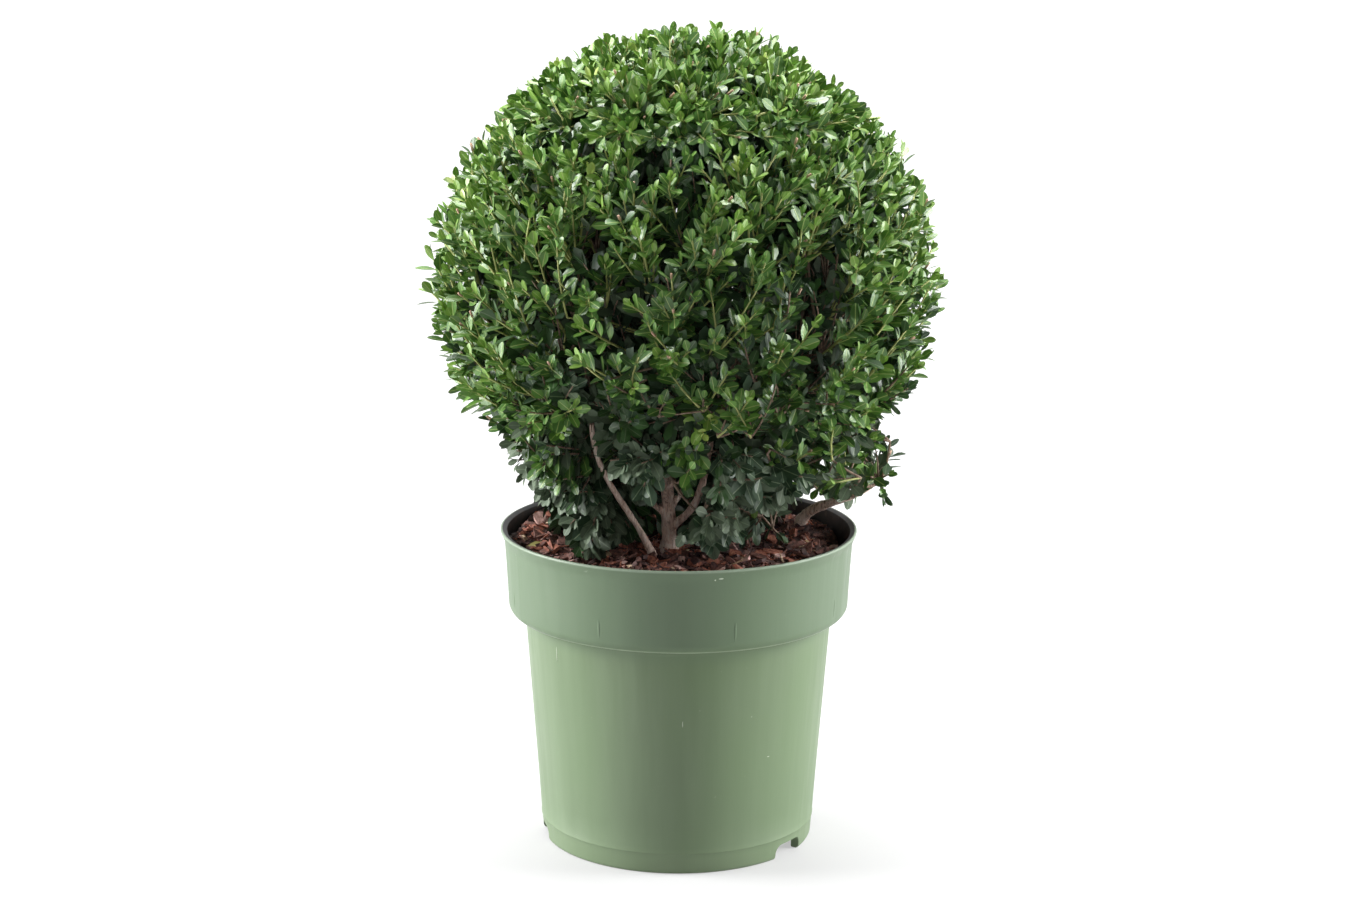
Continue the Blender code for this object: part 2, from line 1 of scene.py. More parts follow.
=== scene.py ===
"""The looks of a potted Japanese holly clipped to a ball, in metres with +Z up and the front at -Y.

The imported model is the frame. A moulded pot, shredded bark, limbs with bark, and foliage stand for its nodes.
The foliage grows by the same rule as the solids, carried to finer twigs and leaves of their real size.
"""

import json
import math
import random

import bmesh
import bpy
import numpy as np
from mathutils import Matrix, Vector, noise

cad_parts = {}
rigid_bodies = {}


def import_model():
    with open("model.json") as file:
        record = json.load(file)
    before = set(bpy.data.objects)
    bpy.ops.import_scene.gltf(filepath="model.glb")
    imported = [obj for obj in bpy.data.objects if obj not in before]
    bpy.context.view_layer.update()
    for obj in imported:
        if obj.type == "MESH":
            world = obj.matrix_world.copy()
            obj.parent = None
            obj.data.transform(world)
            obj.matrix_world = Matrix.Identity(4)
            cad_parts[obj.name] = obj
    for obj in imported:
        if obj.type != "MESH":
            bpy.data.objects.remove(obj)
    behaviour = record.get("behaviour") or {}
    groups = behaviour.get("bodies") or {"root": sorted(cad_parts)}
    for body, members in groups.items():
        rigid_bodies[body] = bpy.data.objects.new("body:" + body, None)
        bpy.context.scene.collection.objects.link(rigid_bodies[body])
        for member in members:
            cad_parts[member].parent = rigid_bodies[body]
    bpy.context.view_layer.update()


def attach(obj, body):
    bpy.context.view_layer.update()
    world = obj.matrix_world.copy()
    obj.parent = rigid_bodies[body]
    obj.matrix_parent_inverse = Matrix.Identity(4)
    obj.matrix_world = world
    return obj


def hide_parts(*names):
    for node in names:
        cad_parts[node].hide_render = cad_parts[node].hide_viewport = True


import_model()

# The pot, as in the solids: radii of the outside, heights above the ground.
POT_HEIGHT = 0.250
LIP_RADIUS = 0.140
LIP_HEIGHT = 0.005
BAND_TOP_RADIUS = 0.1366
BAND_FOOT_RADIUS = 0.1338
BAND_HEIGHT = 0.067
BAND_ROUNDING = 0.008
BODY_TOP_RADIUS = 0.1208
BODY_FOOT_RADIUS = 0.1070
FOOT_RADIUS = 0.1045
FOOT_ROUNDING = 0.003
FOOT_RING = 0.0045
FLOOR_TOP = 0.0165
FLOOR_THICKNESS = 0.003
WALL = 0.0025
NOTCH_AZIMUTHS = (-35.0, 10.0, 145.0, 190.0)
NOTCH_WIDTH = 0.033
NOTCH_HEIGHT = 0.0115
# Its finer mouldings.
POT_SEGMENTS = 144
SEAM_HEIGHT = 0.0172
SEAM_PROUD = 0.0005
LIP_EDGE = 0.0012
STACK_RIB_FIRST = -116.3
STACK_RIB_COUNT = 8
STACK_RIB_FOOT = 0.1885
STACK_RIB_HEIGHT = 0.022
STACK_RIB_WIDTH = 0.0026
STACK_RIB_PROUD = 0.0009
WALL_LEAN = math.atan(0.06)
# Pale scuffs in the plastic: azimuth, height, radius there, and how proud, broad and tall each is.
SCUFFS = (
    (-76.6, 0.2436, 0.1375, 0.0003, 0.0052, 0.0020),
    (-78.4, 0.2427, 0.1372, 0.0003, 0.0016, 0.0024),
    (-141.0, 0.1668, 0.1196, 0.0002, 0.0006, 0.0120),
    (-88.0, 0.1240, 0.1163, 0.0002, 0.0005, 0.0050),
    (-52.0, 0.0900, 0.1137, 0.0002, 0.0022, 0.0006),
    (35.0, 0.1450, 0.1179, 0.0002, 0.0006, 0.0080),
    (112.0, 0.2250, 0.1353, 0.0003, 0.0045, 0.0012),
    (160.0, 0.0700, 0.1121, 0.0002, 0.0006, 0.0090),
)

# The bark in the pot.
SOIL_LEVEL = 0.232
SOIL_DIP = 0.007
SOIL_BUMP = 0.0025
LEVEL_RADIUS = 0.045
STUMP_CLEARING = 0.026
BANK_AZIMUTH = 150.0
BANK_SPREAD = 130.0
BANK_HEIGHT = 0.0165
BANK_LEAST = 0.004
CRUMB_RELIEF = 0.0022
WALL_GAP = 0.0005
BED_RINGS = 46
BED_SEGMENTS = 160
FLAKE_THICKNESS = 0.0016
# Leaves that lie on the bark: place, heading in degrees, length and finish.
FALLEN = (
    (-0.119, -0.029, 12, 0.015, 0),
    (-0.078, -0.030, 75, 0.012, 1),
    (0.052, -0.054, 150, 0.011, 1),
    (-0.038, -0.062, 20, 0.010, 0),
    (0.106, -0.010, 240, 0.013, 1),
    (0.060, 0.095, 100, 0.015, 0),
    (-0.030, 0.112, 200, 0.014, 1),
    (-0.098, 0.060, 320, 0.015, 1),
    (0.020, 0.070, 60, 0.014, 0),
)
# Broad flakes that lie on top of the rest: place, size, lean towards the front and finish.
FLAKES = (
    (-0.110, 0.018, 0.010, 0.011, 62, 3),
    (-0.100, 0.034, 0.016, 0.006, 20, 2),
    (0.012, -0.058, 0.012, 0.007, 35, 2),
    (0.028, -0.036, 0.014, 0.006, 35, 3),
    (0.030, -0.066, 0.018, 0.005, 28, 2),
    (0.044, -0.048, 0.011, 0.007, 42, 2),
    (0.062, -0.050, 0.016, 0.005, 24, 1),
    (0.054, -0.030, 0.009, 0.006, 45, 3),
    (0.074, -0.026, 0.020, 0.006, 25, 2),
    (0.092, -0.012, 0.014, 0.007, 35, 1),
    (-0.006, -0.066, 0.014, 0.006, 30, 1),
    (-0.020, -0.052, 0.010, 0.006, 38, 2),
    (-0.048, -0.048, 0.013, 0.006, 30, 1),
    (-0.066, -0.040, 0.015, 0.005, 25, 2),
    (-0.090, -0.018, 0.011, 0.007, 40, 1),
)

# The ball of foliage, and the levels that part its masses.
BALL_CENTRE = Vector((0.004, 0.0, 0.444))
BALL_RADIUS = 0.201
HOLLOW_RADIUS = 0.062
TOP_LEVEL = 0.567
SKIRT_LEVEL = 0.347
SKIRT_FOOT = 0.255
SEAT_GAP = 0.0003
ROOM_GAP = 0.0005
LIMB_CLEARANCE = 0.0012

# The stems that rise from the bark, as the places of their feet and tips.
TRUNK_FOOT = Vector((-0.008, -0.014, SOIL_LEVEL + SEAT_GAP))
TRUNK_FORK = Vector((-0.012, -0.012, 0.330))
TRUNK_RADIUS = 0.0065
FORK_RADIUS = 0.0045
STEM_TIP_RADIUS = 0.0022
LEADER_DROP = 0.003
LEFT_RADIUS = 0.0028
LEFT_FOOT = Vector((-0.020, -0.028, SOIL_LEVEL + SEAT_GAP))
LEFT_HEADING = Vector((-0.34, -0.30, 1))
LEFT_TIP = Vector((-0.066, -0.066, 0.3415))
STUMP_RADIUS = 0.0058
STUMP_FOOT = Vector((0.0985, 0.058, SOIL_LEVEL + SEAT_GAP))
LOW_BOUGH_TIP = Vector((0.153, 0.035, 0.275))
LOW_BOUGH_HEADING = Vector((0.9, -0.3, 0.9))

# The boughs that spring from the trunk: azimuth and height of the collar, those of the tip, and the radius.
BOUGHS = {
    "bough_right": (-12, 0.252, -26, 0.365, 0.0035),
    "bough_front": (-86, 0.312, -86, 0.402, 0.0030),
    "bough_back_right": (34, 0.294, 34, 0.410, 0.0032),
    "bough_back": (94, 0.304, 94, 0.415, 0.0032),
    "bough_back_left": (154, 0.288, 154, 0.408, 0.0032),
    "bough_skirt_front": (-100, 0.272, -94, 0.298, 0.0024),
    "bough_skirt_left": (189, 0.262, 189, 0.298, 0.0026),
    "bough_skirt_back_left": (120, 0.256, 120, 0.300, 0.0026),
    "bough_skirt_back_right": (48, 0.266, 48, 0.300, 0.0026),
}
BOUGH_TIP_DISTANCE = 0.052
BOUGH_RISE = math.radians(38)
BOUGH_TAPER = 0.62
COLLAR_LENGTH = 0.007
COLLAR_SWELL = 0.0007
# Their bark: the step along a limb, the sides round it, and how far it runs into what it joins.
BARK_STEP = 0.0028
LEAST_BARK_STEPS = 16
TRUNK_SIDES = 20
STEM_SIDES = 14
STEM_ROOT = 0.004
BARK_PAST = 0.004
COLLAR_PAST = 0.003

# The masses of foliage: the azimuths and the limb that carries each.
SIDE_MASSES = {
    "crown_front": (-115.5, -58.0, "bough_front"),
    "crown_right": (-54.0, 4.0, "bough_right"),
    "crown_back_right": (4.0, 64.0, "bough_back_right"),
    "crown_back": (64.0, 124.0, "bough_back"),
    "crown_back_left": (124.0, 184.0, "bough_back_left"),
    "crown_left": (184.0, 244.5, "stem_left"),
}
SKIRT_MASSES = {
    "skirt_front": (232.0, 300.0, "bough_skirt_front"),
    "skirt_right": (-60.0, 12.0, "stem_right"),
    "skirt_back_right": (12.0, 84.0, "bough_skirt_back_right"),
    "skirt_back_left": (84.0, 156.0, "bough_skirt_back_left"),
    "skirt_left": (156.0, 222.0, "bough_skirt_left"),
}
SPRAY_REACH = 0.226
SPRAY_SPREAD = 0.174

# The growth rule of the solids.
SHELLS = ((0.50, 24), (0.74, 76), (0.905, 146))
SHELL_JITTER = 0.05
PATH_WEIGHT = 0.35
GROWTH_SEED = 18
TWIG_RADIUS = 0.0016
STEM_LENGTH = 0.026
LEAF_TURN = math.radians(137.5)

# The finer growth. Each later shell adds twigs, and leafy shoots end on the clipped surface and inside it.
FINE_SHELLS = ((0.62, 110), (0.74, 190), (0.84, 300))
SHOOT_COUNT = 2700
SHOOT_SHARE = (0.905, 0.985)
LEAST_KEPT = 0.60
INNER_COUNT = 1300
INNER_SHARE = (0.72, 0.87)
CORE_COUNT = 900
CORE_SHARE = (0.40, 0.68)
UPWARD = 1.10
# Shoots, and the stubs that the shears leave on some.
SHOOT_LENGTH = 0.040
LONGEST_SHOOT = 0.075
SHORTEST_SHOOT = 0.012
SHOOT_RADII = (0.00095, 0.00088, 0.0008, 0.0007, 0.00055)
CUT_SHARE = 0.16
CUT_RADII = (0.0010, 0.0010, 0.00085)
# Twigs: a piece's radius is the least one plus a gain times a power of what it carries.
STEM_RADII = (0.0021, 0.0020, 0.0019, 0.0017)
STEM_SINK = 0.002
SPRAY_STEM_LENGTH = 0.007
LOW_WOOD_RADIUS = 0.0014
LEAST_WOOD_RADIUS = 0.00052
LEAST_ROOT_RADIUS = 0.00056
WOOD_GAIN = 0.00021
WOOD_POWER = 0.62
# Wood thicker than this, or lower than this, is brown, and leaves below the grey level may be grey.
BROWN_WOOD_RADIUS = 0.00085
BROWN_LEVEL = 0.405
GREY_LEVEL = 0.365
# Leaves: lengths, the growth of inner and old ones, breadth as a share of length, and how many on a shoot.
LEAF_SPACING = 0.0040
LEAF_SIZE = (0.0138, 0.0178)
INNER_LEAF_GROWTH = 1.25
OLD_LEAF_GROWTH = 1.14
LEAF_BREADTH = 0.49
OLD_LEAF_BREADTH = 0.53
LEAF_COUNTS = (4, 14)
INNER_LEAF_COUNT = 6
# Fine twigs keep out of a recess that is at least this open.
OPEN_ENOUGH = 0.5

# Recesses that show the dark inside: azimuth, rise, half breadth, half height and how open each is.
OPENINGS = (
    (-54.9, 6.9, 6.5, 13.0, 1.0),
    (-67.3, 15.5, 4.5, 4.5, 0.9),
    (-91.2, 21.5, 3.0, 7.0, 0.85),
    (-116.7, 16.1, 3.0, 5.5, 0.8),
    (-104.0, -4.1, 7.0, 8.0, 0.75),
    (-62.3, -10.3, 9.0, 4.5, 0.85),
    (-83.7, -2.0, 5.0, 4.0, 0.75),
)
# The front under the ball, thinned out between these x and before this y.
BARE_FRONT = (-0.085, 0.070)
BARE_FRONT_Y = -0.055
# Where a few young shoots stand out in front of the darker leaves.
BRIGHT_TIPS = (
    (0.012, -0.146, 0.379),
    (0.023, -0.150, 0.368),
    (0.029, -0.140, 0.388),
    (0.018, -0.148, 0.356),
    (-0.105, -0.120, 0.380),
    (-0.112, -0.110, 0.388),
    (0.140, -0.075, 0.352),
)
# The share of shoots left out of the sparse masses.
THINNED = {"skirt_front": 0.45, "skirt_right": 0.80, "skirt_back_right": 0.60, "crown_front": 0.05}
# How far out the low shoots may end, as (level, reach) on the left and on the right.
SKIRT_EDGE = {
    "left": ((0.250, 0.098), (0.287, 0.112), (0.303, 0.132), (0.330, 0.145)),
    "right": ((0.250, 0.112), (0.287, 0.132), (0.303, 0.140), (0.330, 0.150)),
}
# Old shoots low in the skirts, all round and then in front, and round the stems' feet.
BASAL_COUNT = 560
FRONT_COUNT = 330
FRONT_AZIMUTHS = (-150, -30)
BASAL_LEVELS = (0.245, 0.345)
FOOT_COUNT = 120
FOOT_BOX = ((-0.075, 0.080), (-0.030, 0.070), (0.246, 0.315))
# The low right has few of them: its azimuths, where it gets barer, and the share left out before and after.
SPARSE_AZIMUTHS = (-74, 34)
BARER_FROM = -58
SPARSE_SHARES = (0.45, 0.86)
# The low bough's mass: shoots along its edge, shoots at set distances from the axis, and those at the bough's
# tip. A piece of its wood past the covered length gets a shoot of its own.
EDGE_COUNT = 18
EDGE_AZIMUTHS = (-45, 18)
EDGE_LEVELS = (0.292, 0.345)
LOW_RIGHT_SHOOTS = (
    (16, (-8, 26), (0.132, 0.158), (0.290, 0.340)),
    (5, (6, 26), (0.125, 0.150), (0.260, 0.285)),
)
TIP_COUNT = 11
TIP_OFFSET = Vector((-0.006, -0.006, 0.014))
TIP_DISTANCES = (0.018, 0.030)
COVERED_LENGTH = 0.018
# The stems that stay in sight from the front: each with how high it shows and the clearance beside it.
IN_SIGHT = {
    "trunk": (0.292, 0.0092),
    "stem_left": (0.345, 0.0078),
    "bough_right": (0.322, 0.0075),
    "stem_right": (0.250, 0.0150),
}
SIGHT = Vector((0.0, 0.975, -0.220)).normalized()
# The masses that could hide them.
FRONT_MASSES = ("skirt_front", "skirt_left", "skirt_right", "crown_front", "crown_left")
# The draw of every random choice that the solids don't share.
SEED = 3

# The stage: how far the floor reaches, what share of its whiteness lights the plant, and the camera's angles.
FLOOR_REACH = 16.0
FLOOR_LIT_SHARE = 0.30
CAMERA_PLACE = (0.003, -2.25, 0.815)
CAMERA_DIP = 12.73
CAMERA_ROLL = 0.37


# Finishes


def blank(name, colour, roughness):
    """A new material with its plain colour and roughness, its nodes, and its shader."""
    material = bpy.data.materials.new(name)
    material.use_nodes = True
    shader = material.node_tree.nodes["Principled BSDF"]
    shader.inputs["Base Color"].default_value = (*colour, 1.0)
    shader.inputs["Roughness"].default_value = roughness
    return material, material.node_tree, shader


def pattern(tree, scale, detail=3.0, distortion=0.0, roughness=0.55):
    """A noise on Object coordinates, squeezed by the scale along each axis, as its Factor output."""
    place = tree.nodes.new("ShaderNodeTexCoord")
    mapping = tree.nodes.new("ShaderNodeMapping")
    mapping.inputs["Scale"].default_value = scale
    grain = tree.nodes.new("ShaderNodeTexNoise")
    grain.inputs["Scale"].default_value = 1.0
    grain.inputs["Detail"].default_value = detail
    grain.inputs["Distortion"].default_value = distortion
    grain.inputs["Roughness"].default_value = roughness
    tree.links.new(place.outputs["Object"], mapping.inputs["Vector"])
    tree.links.new(mapping.outputs["Vector"], grain.inputs["Vector"])
    return grain.outputs["Fac"]


def ramp(tree, factor, stops):
    """Colours along a factor, as (place, colour) stops."""
    node = tree.nodes.new("ShaderNodeValToRGB")
    elements = node.color_ramp.elements
    while len(elements) < len(stops):
        elements.new(0.5)
    for element, (place, colour) in zip(elements, stops):
        element.position = place
        element.color = (*colour, 1.0)
    tree.links.new(factor, node.inputs["Fac"])
    return node.outputs["Color"]


def span(tree, factor, low, high, out_low, out_high):
    """The factor carried from one range to another and held at its ends."""
    node = tree.nodes.new("ShaderNodeMapRange")
    node.inputs["From Min"].default_value = low
    node.inputs["From Max"].default_value = high
    node.inputs["To Min"].default_value = out_low
    node.inputs["To Max"].default_value = out_high
    tree.links.new(factor, node.inputs["Value"])
    return node.outputs["Result"]


def blend(tree, factor, first, second):
    """Mixes two colours, each a colour or an output, by a factor."""
    node = tree.nodes.new("ShaderNodeMix")
    node.data_type = "RGBA"
    tree.links.new(factor, node.inputs["Factor"])
    for socket, value in ((node.inputs[6], first), (node.inputs[7], second)):
        if isinstance(value, tuple):
            socket.default_value = (*value, 1.0)
        else:
            tree.links.new(value, socket)
    return node.outputs[2]


def relief(tree, shader, height, strength, depth):
    """A fine relief in the finish, over the shape's own."""
    node = tree.nodes.new("ShaderNodeBump")
    node.inputs["Strength"].default_value = strength
    node.inputs["Distance"].default_value = depth
    tree.links.new(height, node.inputs["Height"])
    tree.links.new(node.outputs["Normal"], shader.inputs["Normal"])


def height_above(tree):
    """The height above the ground."""
    place = tree.nodes.new("ShaderNodeTexCoord")
    apart = tree.nodes.new("ShaderNodeSeparateXYZ")
    tree.links.new(place.outputs["Object"], apart.inputs["Vector"])
    return apart.outputs["Z"]


def pot_green():
    """Pale green plastic: drawn streaks, a bluer band, a body lighter towards the foot as painted bounce light,
    painted highlights on the foot of the band and on the lip, and dust with painted bounce light at the foot.
    """
    material, tree, shader = blank("pot_green", (0.25, 0.34, 0.19), 0.36)
    streaks = pattern(tree, (55.0, 55.0, 1.6), detail=4.0)
    streaked = ramp(tree, streaks, ((0.28, (0.132, 0.182, 0.104)), (0.74, (0.178, 0.236, 0.146))))
    clouds = pattern(tree, (9.0, 9.0, 5.0), detail=2.0)
    clouded = blend(tree, span(tree, clouds, 0.38, 0.66, 0.0, 0.75), streaked, (0.142, 0.212, 0.104))
    level = height_above(tree)
    ledge = POT_HEIGHT - BAND_HEIGHT
    # The body is lighter towards the foot: painted bounce light from the floor, which leaves the top of the
    # body under the band darker as painted shade.
    bounce_lit = blend(tree, span(tree, level, ledge - 0.018, 0.025, 0.0, 0.45), clouded, (0.215, 0.292, 0.178))
    band = span(tree, level, ledge - 0.013, ledge + 0.009, 0.0, 0.7)
    banded = blend(tree, band, bounce_lit, (0.119, 0.173, 0.109))
    # Lighter at the very foot: dust, and painted bounce light from the floor.
    dust_and_painted_light = blend(tree, span(tree, level, 0.022, 0.012, 0.0, 0.45), banded, (0.245, 0.325, 0.195))
    # A thin pale line along the foot of the band: a painted highlight where the rounded edge catches the light.
    edge_highlight_fade = span(tree, level, ledge + 0.0026, ledge + 0.0016, 0.0, 0.55)
    edge_highlight = blend(tree, edge_highlight_fade, dust_and_painted_light, (0.42, 0.50, 0.36))
    edge_highlighted = blend(tree, span(tree, level, ledge - 0.0004, ledge + 0.0006, 0.0, 1.0), dust_and_painted_light, edge_highlight)
    # A pale line along the top of the lip: a painted highlight.
    lip = span(tree, level, POT_HEIGHT - 0.0022, POT_HEIGHT - 0.0010, 0.0, 0.45)
    lip_highlighted = blend(tree, lip, edge_highlighted, (0.40, 0.47, 0.38))
    scuffs = pattern(tree, (60.0, 60.0, 95.0), detail=6.0, distortion=0.8, roughness=0.7)
    scuffed = blend(tree, span(tree, scuffs, 0.69, 0.74, 0.0, 0.35), lip_highlighted, (0.50, 0.55, 0.46))
    tree.links.new(scuffed, shader.inputs["Base Color"])
    gloss = pattern(tree, (120.0, 120.0, 4.0), detail=3.0)
    tree.links.new(span(tree, gloss, 0.3, 0.7, 0.34, 0.48), shader.inputs["Roughness"])
    relief(tree, shader, pattern(tree, (260.0, 260.0, 8.0), detail=2.0), 0.10, 0.0006)
    shader.inputs["Specular IOR Level"].default_value = 0.36
    return material


def pot_black():
    """The black inner layer of the same plastic, with splashes of soil."""
    material, tree, shader = blank("pot_black", (0.012, 0.012, 0.012), 0.45)
    splash = pattern(tree, (140.0, 140.0, 110.0), detail=5.0)
    soiled = ramp(tree, splash, ((0.52, (0.010, 0.011, 0.011)), (0.70, (0.045, 0.030, 0.022))))
    tree.links.new(soiled, shader.inputs["Base Color"])
    relief(tree, shader, splash, 0.25, 0.0006)
    return material


def crumb_brown():
    """Moist crumbled bark between the chips."""
    material, tree, shader = blank("crumb_brown", (0.035, 0.016, 0.012), 0.85)
    lumps = pattern(tree, (330.0, 330.0, 330.0), detail=6.0, roughness=0.65)
    browns = ((0.30, (0.014, 0.008, 0.007)), (0.52, (0.080, 0.034, 0.026)), (0.76, (0.270, 0.125, 0.090)))
    tree.links.new(ramp(tree, lumps, browns), shader.inputs["Base Color"])
    damp = pattern(tree, (70.0, 70.0, 70.0), detail=2.0)
    tree.links.new(span(tree, damp, 0.35, 0.65, 0.55, 0.95), shader.inputs["Roughness"])
    relief(tree, shader, lumps, 0.8, 0.002)
    return material


def chip(name, dark, light):
    """One kind of bark chip or fibre, with a fine grain."""
    material, tree, shader = blank(name, light, 0.75)
    grain = pattern(tree, (420.0, 420.0, 420.0), detail=4.0, roughness=0.6)
    tree.links.new(ramp(tree, grain, ((0.32, dark), (0.66, light))), shader.inputs["Base Color"])
    relief(tree, shader, grain, 0.5, 0.0008)
    return material


def bark(name, dark, middle, light):
    """Bark that flakes lengthwise on upright stems."""
    material, tree, shader = blank(name, middle, 0.85)
    flakes = pattern(tree, (520.0, 520.0, 120.0), detail=6.0, distortion=0.9, roughness=0.68)
    toned = ramp(tree, flakes, ((0.36, dark), (0.50, middle), (0.64, light)))
    patches = pattern(tree, (90.0, 90.0, 45.0), detail=3.0)
    mixed = blend(tree, span(tree, patches, 0.45, 0.70, 0.0, 0.55), toned, light)
    tree.links.new(mixed, shader.inputs["Base Color"])
    relief(tree, shader, flakes, 0.7, 0.0012)
    return material


def leaf(name, colour, roughness, gloss=0.5):
    """One tint of leaf: a plain colour on a waxy face that waves a little."""
    material, tree, shader = blank(name, colour, roughness)
    shader.inputs["Specular IOR Level"].default_value = gloss
    relief(tree, shader, pattern(tree, (330.0, 330.0, 330.0), detail=2.0), 0.22, 0.0010)
    return material


def twig(name, colour):
    """Smooth young bark, or cut wood."""
    material, tree, shader = blank(name, colour, 0.7)
    relief(tree, shader, pattern(tree, (900.0, 900.0, 400.0), detail=3.0), 0.5, 0.0006)
    return material


# Mesh helpers


def settle(bm, name):
    """The bmesh as a mesh: doubles merged, faces pointing out, smooth shading."""
    bmesh.ops.remove_doubles(bm, verts=bm.verts, dist=1e-6)
    bmesh.ops.recalc_face_normals(bm, faces=bm.faces)
    mesh = bpy.data.meshes.new(name)
    bm.to_mesh(mesh)
    bm.free()
    mesh.shade_smooth()
    return mesh


def show(name, mesh, materials, replaces=(), sharp=None):
    """Puts a finished piece in the scene, on the plant's one body."""
    piece = bpy.data.objects.new(name, mesh)
    bpy.context.scene.collection.objects.link(piece)
    for material in materials:
        mesh.materials.append(material)
    if sharp is not None:
        mesh.set_sharp_from_angle(angle=math.radians(sharp))
    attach(piece, "root")
    if replaces:
        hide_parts(*replaces)
    return piece


def polar(azimuth, radius, height):
    """A place by its azimuth in degrees, its distance from the axis and its height."""
    turn = math.radians(azimuth)
    return Vector((radius * math.cos(turn), radius * math.sin(turn), height))


def smoothstep(low, high, value):
    """Rises from 0 at low to 1 at high, which may lie either way round."""
    share = min(1.0, max(0.0, (value - low) / (high - low)))
    return share * share * (3 - 2 * share)


def lathe(profile, segments, closed=False):
    """A shape turned from a profile of (radius, height)."""
    bm = bmesh.new()
    chain = [bm.verts.new((radius, 0.0, height)) for radius, height in profile]
    edges = [bm.edges.new(pair) for pair in zip(chain, chain[1:])]
    if closed:
        edges.append(bm.edges.new((chain[-1], chain[0])))
    bmesh.ops.spin(
        bm,
        geom=chain + edges,
        axis=(0, 0, 1),
        cent=(0, 0, 0),
        angle=2 * math.pi,
        steps=segments,
        use_merge=True,
    )
    bmesh.ops.remove_doubles(bm, verts=bm.verts, dist=1e-6)
    return bm


def frames_along(directions, facing):
    """For rows of directions: (side, across, along) unit rows, with side as near to facing as it can be."""
    along = directions / np.linalg.norm(directions, axis=-1, keepdims=True)
    side = facing - along * np.sum(along * facing, axis=-1, keepdims=True)
    weak = np.linalg.norm(side, axis=-1, keepdims=True) < 1e-6
    side = np.where(weak, np.cross(along, (0.31, 0.74, 0.59)), side)
    side /= np.linalg.norm(side, axis=-1, keepdims=True)
    return side, np.cross(along, side), along


def template(bm):
    """The corners of a small shape, its faces as lists of corners, and each face's material."""
    corners = np.array([vert.co[:] for vert in bm.verts])
    bm.verts.index_update()
    faces = [[vert.index for vert in face.verts] for face in bm.faces]
    kinds = [face.material_index for face in bm.faces]
    bm.free()
    return corners, faces, kinds


def repeat(name, shape, places, kinds):
    """One mesh of many copies of a shape: places (copies, corners, 3), kinds (copies, faces) or (copies,)."""
    corners, faces, _ = shape
    copies = len(places)
    mesh = bpy.data.meshes.new(name)
    mesh.vertices.add(copies * len(corners))
    mesh.vertices.foreach_set("co", np.asarray(places, np.float32).ravel())
    sizes = np.array([len(face) for face in faces])
    loops = np.array([corner for face in faces for corner in face])
    starts = np.concatenate(([0], np.cumsum(sizes)[:-1]))
    steps = np.arange(copies)
    mesh.loops.add(copies * len(loops))
    mesh.polygons.add(copies * len(faces))
    spread = (loops[None, :] + steps[:, None] * len(corners)).ravel()
    mesh.loops.foreach_set("vertex_index", spread.astype(np.int32))
    begin = (starts[None, :] + steps[:, None] * len(loops)).ravel()
    mesh.polygons.foreach_set("loop_start", begin.astype(np.int32))
    kinds = np.asarray(kinds)
    if kinds.ndim == 1:
        kinds = np.repeat(kinds[:, None], len(faces), axis=1)
    mesh.polygons.foreach_set("material_index", kinds.ravel().astype(np.int32))
    mesh.update(calc_edges=True)
    mesh.validate()
    mesh.shade_smooth()
    return mesh


# The pot


def rounded(centre, radius, start, end, steps):
    """Points of an arc as (radius, height), with angles in degrees."""
    points = []
    for index in range(steps + 1):
        turn = math.radians(start + (end - start) * index / steps)
        points.append((centre[0] + radius * math.cos(turn), centre[1] + radius * math.sin(turn)))
    return points


def body_radius(height):
    """The radius of the tapering body at a height."""
    share = (height - FOOT_ROUNDING) / (POT_HEIGHT - BAND_HEIGHT - FOOT_ROUNDING)
    return BODY_FOOT_RADIUS + (BODY_TOP_RADIUS - BODY_FOOT_RADIUS) * share


def outer_wall():
    """The outside from the foot to the top of the lip, with a moulding seam low on the body."""
    ledge = POT_HEIGHT - BAND_HEIGHT
    lip_foot = POT_HEIGHT - LIP_HEIGHT
    points = [(FOOT_RADIUS - 0.0012, 0.0), (FOOT_RADIUS, 0.0)]
    points += [(FOOT_RADIUS + 0.0014, 0.0007), (BODY_FOOT_RADIUS - 0.0004, 0.0018)]
    points += [(BODY_FOOT_RADIUS, FOOT_ROUNDING)]
    for offset, proud in ((-0.0016, 0.0), (-0.0009, 0.4), (-0.0003, 1.0), (0.0004, 1.0), (0.0012, 0.25)):
        height = SEAM_HEIGHT + offset
        points.append((body_radius(height) + proud * SEAM_PROUD, height))
    for share in (0.20, 0.36, 0.52, 0.68, 0.84, 0.97):
        height = FOOT_ROUNDING + (ledge - FOOT_ROUNDING) * share
        points.append((body_radius(height) + 0.05 * SEAM_PROUD, height))
    points += [(BODY_TOP_RADIUS, ledge - 0.0012), (BODY_TOP_RADIUS + 0.0010, ledge)]
    corner = (BAND_FOOT_RADIUS - BAND_ROUNDING, ledge + BAND_ROUNDING)
    points += [(corner[0] - 0.001, ledge + 0.0003)]
    points += rounded(corner, BAND_ROUNDING, -80, 0, 7)
    points += [(BAND_FOOT_RADIUS + 0.0006, ledge + BAND_ROUNDING + 0.012)]
    points += [(BAND_FOOT_RADIUS + 0.0016, ledge + BAND_ROUNDING + 0.030)]
    points += [(BAND_TOP_RADIUS, lip_foot - 0.0065), (BAND_TOP_RADIUS + 0.0005, lip_foot - 0.0035)]
    points += [(BAND_TOP_RADIUS + 0.0014, lip_foot - 0.0008), (LIP_RADIUS - 0.0007, lip_foot + 0.0018)]
    points += rounded((LIP_RADIUS - LIP_EDGE, POT_HEIGHT - LIP_EDGE), LIP_EDGE, -20, 90, 5)
    points += [(LIP_RADIUS - 1.4 * LIP_EDGE, POT_HEIGHT)]
    return points


